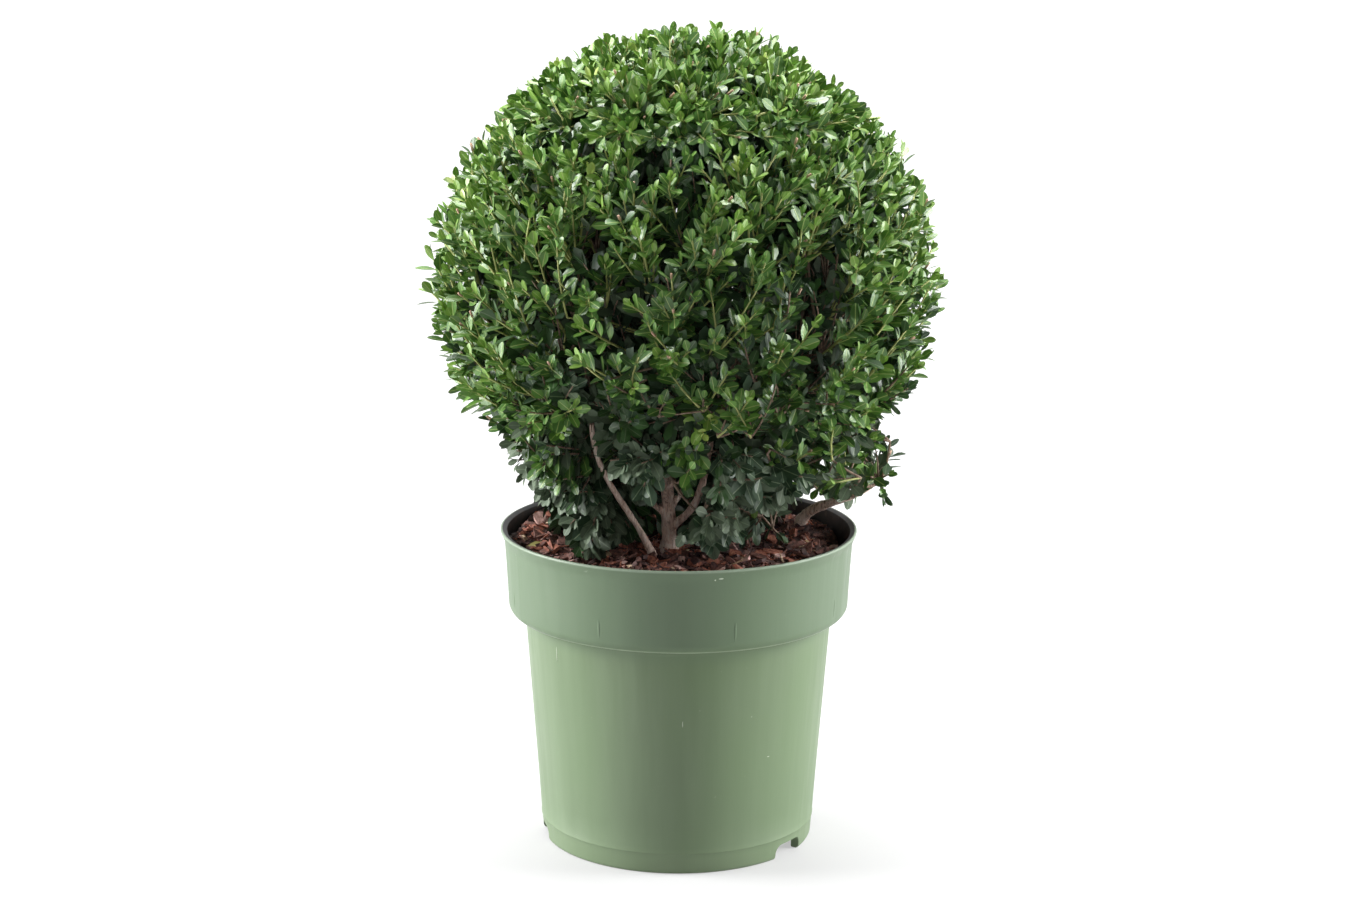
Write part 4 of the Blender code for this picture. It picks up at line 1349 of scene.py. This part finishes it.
def leafy(points, leaves, tint, rng, count, size, cut=False, old=False, sight=()):
    """Sets leaves round a shoot by a fixed turn, small and upright at its tip, large and spreading below."""
    turn = rng.uniform(0, 2 * math.pi)
    distance = 0.0025 if cut else 0.0
    for index in range(count):
        spot, along = along_path(points, distance)
        side = along.orthogonal().normalized()
        outward = Matrix.Rotation(turn, 3, along) @ side
        age = min(1.0, (index + (2 if cut else 0)) / 5)
        pitch = math.radians((34 + 24 * age if old else 20 + 30 * age) + rng.gauss(0, 10))
        heading = along * math.cos(pitch) + outward * math.sin(pitch)
        light = (spot - BALL_CENTRE).normalized() * 0.6 + Vector((0, -0.05, 0.8))
        normal = along * math.sin(pitch) - outward * math.cos(pitch)
        if old:
            heading = (heading + Vector((0, 0, -rng.uniform(0.3, 0.8)))).normalized()
            light = Vector((spot.x, spot.y, 0.0)).normalized() * 0.8 + Vector((0, 0, 0.9))
        normal = normal + light * (0.8 if old else 0.25) + Vector([rng.gauss(0, 0.25) for _ in range(3)])
        length = size * (0.52 + 0.48 * smoothstep(-0.2, 0.8, age)) * rng.uniform(0.86, 1.12)
        breadth = length * (OLD_LEAF_BREADTH if old else LEAF_BREADTH) * rng.uniform(0.88, 1.14)
        shown = tint
        if age < 0.5 and not cut and tint <= GREEN:
            shown = max(YOUNG, tint - 1)
        elif rng.random() < 0.22:
            shown = min(GREY, tint + 1)
        cup = rng.uniform(0.1, 1.0)
        if rng.random() < 0.22 or not hides_stem(spot + heading * (0.5 * length), sight):
            leaves.add(spot, heading, normal, length, breadth, cup, shown)
        turn += LEAF_TURN + rng.gauss(0, 0.25)
        distance += LEAF_SPACING * rng.uniform(0.8, 1.2) * (0.55 + 0.6 * age)


def open_share(point):
    """How open the foliage is at a point: near 1 in the recesses, 0 elsewhere."""
    outward = (point - BALL_CENTRE).normalized()
    azimuth = math.degrees(math.atan2(outward.y, outward.x))
    rise = math.degrees(math.asin(max(-1.0, min(1.0, outward.z))))
    openness = 0.0
    for middle, level, breadth, height, depth in OPENINGS:
        aside = (azimuth - middle) * math.cos(math.radians(rise)) / breadth
        above = (rise - level) / height
        openness = max(openness, depth * (1 - smoothstep(0.75, 1.1, math.hypot(aside, above))))
    return openness


def clipped(outward):
    """How far out the shears left the ball, as a share of its radius, along a direction."""
    height = outward.z
    shoulder = 0.044 * smoothstep(0.30, 0.80, height) * (1 - 0.55 * smoothstep(0.70, 0.88, height))
    waist = 0.110 * smoothstep(-0.26, -0.74, height) if height < 0 else 0.0
    return 1.0 - shoulder - waist


def hollowed(outward):
    """How deep the gaps between clumps go, as a share of the radius: shallow on top, deep below."""
    clumps = noise.noise(outward * 5.5) + 0.5 * noise.noise(outward * 12.0 + Vector((3, 1, 7)))
    depth = 0.05 + 0.14 * smoothstep(0.68, 0.05, outward.z)
    return depth * smoothstep(0.05, 0.75, clumps)


def crown_shoots(total, share, rng_name):
    """Tips spread evenly over the clipped ball."""
    rng = random.Random(rng_name)
    tips = []
    for index in range(total):
        height = 1 - (2 * index + 1) / total
        turn = index * LEAF_TURN
        flat = math.sqrt(1 - height * height)
        aside = Vector([rng.gauss(0, 0.022) for _ in range(3)])
        outward = (Vector((flat * math.cos(turn), flat * math.sin(turn), height)) + aside).normalized()
        reach = rng.uniform(*share) * clipped(outward) - hollowed(outward)
        tips.append(BALL_CENTRE + outward * BALL_RADIUS * reach)
    return tips


def mass_of(tip):
    """The name of the mass whose azimuths and levels a point falls in."""
    if tip.z > TOP_LEVEL:
        return "crown_top"
    azimuth = math.degrees(math.atan2(tip.y, tip.x))
    masses = SIDE_MASSES if tip.z > SKIRT_LEVEL else SKIRT_MASSES
    best, gap = None, math.inf
    for name, facts in masses.items():
        middle, half = 0.5 * (facts[0] + facts[1]), 0.5 * (facts[1] - facts[0])
        away = abs((azimuth - middle + 180) % 360 - 180) - half
        if away < gap:
            best, gap = name, away
    return best


def sight_nodes(limbs):
    """Points along the stems that leaves keep clear of, each with its clearance."""
    nodes = []
    for name, (top, clearance) in IN_SIGHT.items():
        nodes += [(node, clearance) for node in limbs[name].curve(26) if node.z < top]
    return nodes


def hides_stem(point, nodes):
    """Whether a leaf at a point would hide a stem from the front."""
    for node, clearance in nodes:
        offset = point - node
        ahead = offset.dot(SIGHT)
        if ahead < -0.002 and (offset - SIGHT * ahead).length < clearance:
            return True
    return False


def wood_paths(growth, foot_heading, widest, brown, rng):
    """Paths, radii and kinds of a mass's wood.

    Each piece leaves along the last one, and is thicker where it carries more.
    """
    loads = growth.loads()
    paths, radii, kinds = [], [], []
    for index in sorted(growth.leafy - {0}):
        parent = growth.parents[index]
        start, end = growth.points[parent], growth.points[index]
        direct = end - start
        heading = growth_heading(growth, parent, foot_heading)
        agreed = max(0.15, heading.dot(direct.normalized()))
        leave = heading * (0.55 * agreed * direct.length)
        arrive = direct + Vector((0, 0, 0.12 * direct.length))
        sway = Vector([rng.gauss(0, 0.035) for _ in range(3)]) * direct.length
        path = []
        for step in range(5):
            t = step / 4
            spot = start * (2 * t**3 - 3 * t**2 + 1) + leave * (t**3 - 2 * t**2 + t)
            spot += end * (3 * t**2 - 2 * t**3) + arrive * (t**3 - t**2)
            path.append(spot + sway * (4 * t * (1 - t)))
        thick = min(widest, LEAST_WOOD_RADIUS + WOOD_GAIN * loads[index] ** WOOD_POWER)
        root = min(widest, LEAST_ROOT_RADIUS + WOOD_GAIN * loads[parent] ** WOOD_POWER, thick * 1.5)
        paths.append([point[:] for point in path])
        radii.append([root, 0.6 * root + 0.4 * thick, 0.3 * root + 0.7 * thick, thick, thick])
        dull = brown or thick > BROWN_WOOD_RADIUS or end.z < BROWN_LEVEL
        kinds.append(BROWN_WOOD if dull else GREEN_WOOD)
    return paths, radii, kinds


def rooms():
    """Each mass's room and the limb that carries it, by name."""
    found = {"crown_top": (Room([(Vector((0, 0, -1)), -TOP_LEVEL)]), "bough_top")}
    for name, (low, high, carrier) in SIDE_MASSES.items():
        found[name] = (Room(sector(low, high, SKIRT_LEVEL, TOP_LEVEL)), carrier)
    for name, (low, high, carrier) in SKIRT_MASSES.items():
        planes = sector(low, high, SKIRT_FOOT, SKIRT_LEVEL)
        room = Room(planes, SPRAY_REACH, SPRAY_SPREAD) if carrier == "stem_right" else Room(planes)
        found[name] = (room, carrier)
    return found


def skirt_reach(azimuth, level):
    """How far out the low shoots may end at an azimuth and level."""
    edges = []
    for side in ("left", "right"):
        levels, reaches = zip(*SKIRT_EDGE[side])
        edges.append(float(np.interp(level, levels, reaches)))
    rightness = 0.5 + 0.5 * math.cos(math.radians(azimuth))
    return edges[0] + (edges[1] - edges[0]) * smoothstep(0.35, 0.85, rightness)


def crown_tips(tips, rng):
    """Adds the shoots over the clipped ball, those just inside them, and those at its core."""
    for tip in crown_shoots(SHOOT_COUNT, SHOOT_SHARE, f"outer {SEED}"):
        if tip.z < SKIRT_FOOT + 0.004 or rng.random() < open_share(tip):
            continue
        name = mass_of(tip)
        height = (tip.z - BALL_CENTRE.z) / BALL_RADIUS
        thin = 1 - (LEAST_KEPT + (1 - LEAST_KEPT) * smoothstep(0.10, 0.60, height))
        thin = max(thin, THINNED.get(name, 0.0))
        if BARE_FRONT[0] < tip.x < BARE_FRONT[1] and tip.y < BARE_FRONT_Y:
            thin = max(thin, 0.96 * smoothstep(0.384, 0.356, tip.z), 0.5 * smoothstep(0.44, 0.38, tip.z))
        if rng.random() < thin:
            continue
        tips[name].append((tip, "outer"))
    for tip in crown_shoots(INNER_COUNT, INNER_SHARE, f"inner {SEED}"):
        if tip.z < SKIRT_FOOT + 0.01 or rng.random() < 0.9 * open_share(tip):
            continue
        name = mass_of(tip)
        if name in ("skirt_right", "skirt_back_right") and rng.random() < 0.8:
            continue
        tips[name].append((tip, "inner"))
    for tip in crown_shoots(CORE_COUNT, CORE_SHARE, f"core {SEED}"):
        if tip.z > SKIRT_LEVEL - 0.01:
            tips[mass_of(tip)].append((tip, "inner"))


def low_right_tips(tips, rng):
    """Adds the shoots along the edge of the low bough's mass."""
    for _ in range(EDGE_COUNT):
        azimuth, level = rng.uniform(*EDGE_AZIMUTHS), rng.uniform(*EDGE_LEVELS)
        spot = polar(azimuth, skirt_reach(azimuth, level) * rng.uniform(0.86, 1.04), level)
        tips["skirt_right"].append((spot, "outer"))
    for count, azimuths, distances, levels in LOW_RIGHT_SHOOTS:
        for _ in range(count):
            spot = polar(rng.uniform(*azimuths), rng.uniform(*distances), rng.uniform(*levels))
            tips["skirt_right"].append((spot, "outer"))


def kept_clear(azimuth, level, distance):
    """Whether a low place is left open, under the low bough or over the bark in front."""
    if -66 < azimuth < 34 and level < 0.272 + 0.35 * (distance - 0.06):
        return True
    return -135 < azimuth < -45 and level < 0.257 and distance > 0.055


def basal_tips(tips, rng):
    """Adds the old shoots low in the skirts and round the stems' feet."""
    for index in range(BASAL_COUNT + FRONT_COUNT):
        azimuth, level = rng.uniform(-180, 180), rng.uniform(*BASAL_LEVELS)
        if index >= BASAL_COUNT:
            azimuth = rng.uniform(*FRONT_AZIMUTHS)
        reach = skirt_reach(azimuth, level)
        spot = polar(azimuth, reach * (0.35 + 0.65 * math.sqrt(rng.random())), level)
        left_out = SPARSE_SHARES[0 if azimuth < BARER_FROM else 1]
        if SPARSE_AZIMUTHS[0] < azimuth < SPARSE_AZIMUTHS[1] and rng.random() < left_out:
            continue
        if kept_clear(azimuth, level, spot.xy.length):
            continue
        low = Vector((spot.x, spot.y, SKIRT_LEVEL - 0.001))
        tips[mass_of(low)].append((spot, "basal"))
    for _ in range(FOOT_COUNT):
        spot = Vector([rng.uniform(*pair) for pair in FOOT_BOX])
        tips[mass_of(spot)].append((spot, "basal"))


def plan_tips():
    """Where shoots end, by mass, as (tip, kind): outer, inner, basal or bright."""
    rng = random.Random(f"tips {SEED}")
    tips = {name: [] for name in ("crown_top", *SIDE_MASSES, *SKIRT_MASSES)}
    crown_tips(tips, rng)
    low_right_tips(tips, rng)
    basal_tips(tips, rng)
    for _ in range(TIP_COUNT):
        aside = Vector([rng.gauss(0, 1) for _ in range(3)]).normalized() * rng.uniform(*TIP_DISTANCES)
        tips["skirt_right"].append((LOW_BOUGH_TIP + TIP_OFFSET + aside, "outer"))
    for spot in BRIGHT_TIPS:
        tips[mass_of(Vector(spot))].append((Vector(spot), "bright"))
    return tips


def covering_tips(growth, rng):
    """Shoots beside the longer pieces of wood, as (tip, kind, foot of the piece), so that none stays bare."""
    covers = []
    for index in range(1, len(growth.points)):
        foot, end = growth.points[growth.parents[index]], growth.points[index]
        if (end - foot).length < COVERED_LENGTH:
            continue
        aside = Vector([rng.gauss(0, 0.006) for _ in range(3)]) + Vector((0, 0, 0.004))
        covers.append((foot.lerp(end, 0.7) + aside, "cover", foot))
    return covers


def growth_heading(growth, index, foot_heading):
    """The way the wood runs where it reaches a node."""
    parent = growth.parents[index]
    if parent < 0:
        return foot_heading
    return (growth.points[index] - growth.points[parent]).normalized()


class Shoots:
    """The shoots of one mass, and the cut ends of some, gathered for its twigs' mesh."""

    def __init__(self):
        self.paths, self.kinds, self.stubs = [], [], []

    def add(self, path, kind):
        self.paths.append([point[:] for point in path])
        self.kinds.append(kind)

    def cut(self, path, rng):
        """Leaves a pale stub where the shears went through."""
        along = (path[-1] - path[-2]).normalized()
        steps = (-0.0004, 0.0018, rng.uniform(0.003, 0.006))
        self.stubs.append([(path[-1] + along * step)[:] for step in steps])

    def meshes(self, shoot_shape, stub_shape):
        found = []
        if self.paths:
            radii = np.tile(SHOOT_RADII, (len(self.paths), 1))
            bent = tubes(shoot_shape, np.array(self.paths), radii)
            found.append(repeat("shoots", shoot_shape, bent, self.kinds))
        if self.stubs:
            radii = np.tile(CUT_RADII, (len(self.stubs), 1))
            bent = tubes(stub_shape, np.array(self.stubs), radii)
            found.append(repeat("stubs", stub_shape, bent, [CUT_WOOD] * len(self.stubs)))
        return found


def shoot_foot(growth, tip, ahead, aim, rng):
    """The node that a shoot springs from, near enough that the shoot stays short."""
    reach = SHOOT_LENGTH * rng.uniform(0.8, 1.25)
    parent = growth.nearest(aim[0] if aim else tip - ahead * reach, lift=0.5)
    base = growth.points[parent]
    if (tip - base).length > LONGEST_SHOOT:
        base = tip - (tip - base).normalized() * LONGEST_SHOOT
        parent = growth.nearest(base, lift=0.3)
    return parent


def shoot_tint(name, kind, tip, rng):
    """The tint of a shoot's leaves, by where it grows and what kind it is."""
    tint = lively_and_painted_light(tip, rng)
    # Inner leaves are a tint darker: painted shade inside the ball.
    if kind == "inner":
        tint = min(GREY, max(DEEP, tint + 1))
    if kind == "basal":
        # Low old leaves lean to grey: partly dust on old leaves, partly their pale sheen painted into the tint.
        dust_and_painted_light = 0.25 + 0.60 * smoothstep(0.345, 0.290, tip.z)
        weights = (0.7 - 0.78 * dust_and_painted_light, 0.30, 0.35, 0.85 * dust_and_painted_light)
        return rng.choices((GREEN, DEEP, DARK, GREY), weights)[0]
    if name == "skirt_right" and kind in ("outer", "cover"):
        return rng.choices((BRIGHT, GREEN, DEEP, GREY), (0.18, 0.34, 0.22, 0.26))[0]
    if kind == "bright":
        return rng.choice((FRESH, FRESH, BRIGHT))
    if name.startswith("skirt") and tint < GREEN and rng.random() < 0.6:
        return GREEN
    return tint


def leaf_number(length):
    """How many leaves an outer shoot bears."""
    fewest, most = LEAF_COUNTS
    return min(most, max(fewest, round(length / LEAF_SPACING * 0.95)))


def grow_shoots(name, stem, growth, tips, sight, rng):
    """Grows a leafy shoot to every tip: the shoots, their outer leaves and the inner ones."""
    shoots, outer, inner = Shoots(), Leaves(), Leaves()
    for tip, kind, *aim in tips:
        outside, basal = kind != "inner", kind == "basal"
        radial = (tip - BALL_CENTRE).normalized()
        lift = UPWARD * (1 - 0.7 * smoothstep(0.45, 0.95, radial.z))
        if basal:
            radial, lift = Vector((tip.x, tip.y, 0.0)).normalized(), rng.uniform(-0.5, 0.3)
        stray = Vector([rng.gauss(0, 0.16) for _ in range(3)])
        ahead = (radial + Vector((0, 0, lift)) + stray).normalized()
        foot = shoot_foot(growth, tip, ahead, aim, rng)
        base = growth.points[foot]
        length = (tip - base).length
        if length < SHORTEST_SHOOT:
            continue
        heading = (tip - base).normalized() + growth_heading(growth, foot, stem.arrival) * 0.2
        path = shoot_path(base, heading.normalized(), tip)
        if kind == "outer" and rng.random() < open_share(path[2]):
            continue
        if kind != "cover" and any(hides_stem(spot, sight) for spot in path[1:]):
            continue
        tint = shoot_tint(name, kind, tip, rng)
        cut = kind == "outer" and rng.random() < CUT_SHARE
        count = leaf_number(length) if outside else INNER_LEAF_COUNT
        enlarged = OLD_LEAF_GROWTH if basal else 1.0 if outside else INNER_LEAF_GROWTH
        size = rng.uniform(*LEAF_SIZE) * enlarged
        leafy(path, outer if outside else inner, tint, rng, count, size, cut=cut, old=basal, sight=sight)
        growth.bear(foot)
        green = outside and tint <= (GREEN if tip.z > BROWN_LEVEL else BRIGHT)
        shoots.add(path, GREEN_WOOD if green else BROWN_WOOD)
        if cut:
            shoots.cut(path, rng)
    return shoots, outer, inner


def make_wood(name, stem, growth, rng, shape):
    """The mesh of a mass's stem and all its wood that bears leaves."""
    low = name.startswith("skirt")
    widest = LOW_WOOD_RADIUS if low else STEM_TIP_RADIUS
    paths, radii, kinds = wood_paths(growth, stem.arrival, widest, low, rng)
    stem_points = [point[:] for point in stem.curve(4)]
    stem_points[0] = (stem.points[0] - stem.heading * STEM_SINK)[:]
    paths.insert(0, stem_points)
    radii.insert(0, [stem.radius, *STEM_RADII])
    kinds.insert(0, BROWN_WOOD)
    return repeat("wood", shape, tubes(shape, np.array(paths), np.array(radii)), kinds)


def make_foliage(limbs):
    """Every mass: twigs and shoots in one piece, outer leaves in another, inner leaves in a third."""
    tints = [leaf(name, colour, *DULL.get(name, WAXY)) for name, colour in TINTS.items()]
    tints += [leaf(name, colour, roughness=0.5) for name, colour in RIBS.items()]
    woods = [bark("twig_brown", (0.06, 0.035, 0.024), (0.18, 0.115, 0.078), (0.32, 0.24, 0.175))]
    woods += [twig("twig_green", (0.34, 0.36, 0.125)), twig("twig_cut", (0.46, 0.29, 0.20))]
    fine_leaf, plain_leaf = leaf_shape(True, BLADE_ROWS), leaf_shape(False, PLAIN_ROWS)
    wood_shape, shoot_shape, stub_shape = tube_shape(5, 5), tube_shape(4, 5), tube_shape(5, 3)
    tips = plan_tips()
    sight = sight_nodes(limbs)
    for name, (room, carrier) in rooms().items():
        rng = random.Random(f"{name} {GROWTH_SEED}")
        stem = limbs[carrier].onward(STEM_LENGTH, TWIG_RADIUS)
        growth = Growth(stem.points[-1])
        growth.grow(shell_points(room, SHELLS, rng), list(limbs.values()))
        rng = random.Random(f"{name} fine {SEED}")
        finer = shell_points(room, FINE_SHELLS, rng)
        growth.refine([point for point, _ in finer if open_share(point) < OPEN_ENOUGH])
        if name == "skirt_right":
            # The low bough stays bare to its tip, so this mass's first twigs leave close to it.
            stem = limbs[carrier].onward(SPRAY_STEM_LENGTH, TWIG_RADIUS)
            growth.points[0] = stem.points[-1]
            tips[name] += covering_tips(growth, rng)
        near = sight if name in FRONT_MASSES else ()
        shoots, outer, inner = grow_shoots(name, stem, growth, tips[name], near, rng)
        wood = make_wood(name, stem, growth, rng, wood_shape)
        twigs = merged(name + "_twigs", [wood, *shoots.meshes(shoot_shape, stub_shape)])
        show(name + "_twigs", twigs, woods, [name])
        show(name + "_leaves", outer.mesh(name + "_leaves", fine_leaf), tints, [name])
        if inner.roots:
            plain = inner.mesh(name + "_inner_leaves", plain_leaf)
            show(name + "_inner_leaves", plain, tints, [name])


# The room, the light and the camera


def flood(name, place, target, size, power):
    """A broad soft light, aimed at a target."""
    light = bpy.data.lights.new(name, "AREA")
    light.shape = "RECTANGLE"
    light.size, light.size_y = size
    light.energy = power
    lamp = bpy.data.objects.new(name, light)
    bpy.context.scene.collection.objects.link(lamp)
    lamp.location = place
    lamp.rotation_euler = (Vector(target) - Vector(place)).to_track_quat("-Z", "Y").to_euler()


def worked_out(tree, operation, first, second):
    """The result of a sum on two outputs."""
    node = tree.nodes.new("ShaderNodeMath")
    node.operation = operation
    tree.links.new(first, node.inputs[0])
    tree.links.new(second, node.inputs[1])
    return node.outputs["Value"]


def seen_directly(tree):
    """1 where a surface of the room is looked at, and 0 where it lights the plant."""
    return tree.nodes.new("ShaderNodeLightPath").outputs["Is Camera Ray"]


def make_floor():
    """A plain pale floor that looks whiter, the farther the more, than it lights the plant."""
    bm = bmesh.new()
    bmesh.ops.create_grid(bm, x_segments=2, y_segments=2, size=FLOOR_REACH)
    floor = bpy.data.objects.new("floor", settle(bm, "floor"))
    bpy.context.scene.collection.objects.link(floor)
    material, tree, shader = blank("pale_floor", (0.36, 0.36, 0.362), 0.9)
    shader.inputs["Specular IOR Level"].default_value = 0.1
    shader.inputs["Emission Color"].default_value = (1, 1, 1, 1)
    distance = tree.nodes.new("ShaderNodeVectorMath")
    distance.operation = "LENGTH"
    tree.links.new(tree.nodes.new("ShaderNodeTexCoord").outputs["Object"], distance.inputs[0])
    whiter = span(tree, distance.outputs["Value"], 0.35, 3.0, 0.47, 0.97)
    share = span(tree, seen_directly(tree), 0.0, 1.0, FLOOR_LIT_SHARE, 1.0)
    tree.links.new(worked_out(tree, "MULTIPLY", whiter, share), shader.inputs["Emission Strength"])
    floor.data.materials.append(material)


def make_room():
    """A white room that lights the plant from behind and fades to dark towards the front."""
    world = bpy.data.worlds.new("studio")
    bpy.context.scene.world = world
    world.use_nodes = True
    tree = world.node_tree
    place = tree.nodes.new("ShaderNodeTexCoord")
    apart = tree.nodes.new("ShaderNodeSeparateXYZ")
    tree.links.new(place.outputs["Generated"], apart.inputs["Vector"])
    lit = span(tree, apart.outputs["Y"], -0.50, 0.30, 0.02, 0.95)
    glow = tree.nodes["Background"]
    tree.links.new(worked_out(tree, "MAXIMUM", lit, seen_directly(tree)), glow.inputs["Strength"])
    glow.inputs["Color"].default_value = (1, 1, 1, 1)


def make_stage():
    make_floor()
    make_room()
    flood("box_left", (-1.8, 0.0, 0.8), (0, 0, 0.35), (0.8, 1.6), 74)
    flood("box_right", (1.8, 0.0, 0.8), (0, 0, 0.35), (0.8, 1.6), 60)
    flood("box_front", (0.0, -2.1, 0.75), (0, -0.03, 0.25), (1.4, 0.5), 4.5)
    flood("box_top", (0.0, 0.35, 2.0), (0, 0, 0.4), (1.2, 0.8), 52)


def make_camera():
    eye = bpy.data.cameras.new("camera")
    eye.lens = 77.7
    eye.sensor_width = 36.0
    camera = bpy.data.objects.new("camera", eye)
    bpy.context.scene.collection.objects.link(camera)
    tilt = Matrix.Rotation(math.radians(90 - CAMERA_DIP), 4, "X")
    roll = Matrix.Rotation(math.radians(CAMERA_ROLL), 4, "Z")
    camera.matrix_world = Matrix.Translation(CAMERA_PLACE) @ tilt @ roll
    bpy.context.scene.camera = camera


def main():
    make_pot()
    make_soil()
    make_chips()
    make_fallen()
    limbs, collars = plan_limbs()
    make_limbs(limbs, collars)
    make_foliage(limbs)
    make_stage()
    make_camera()
    bpy.context.scene.view_settings.view_transform = "Standard"


main()
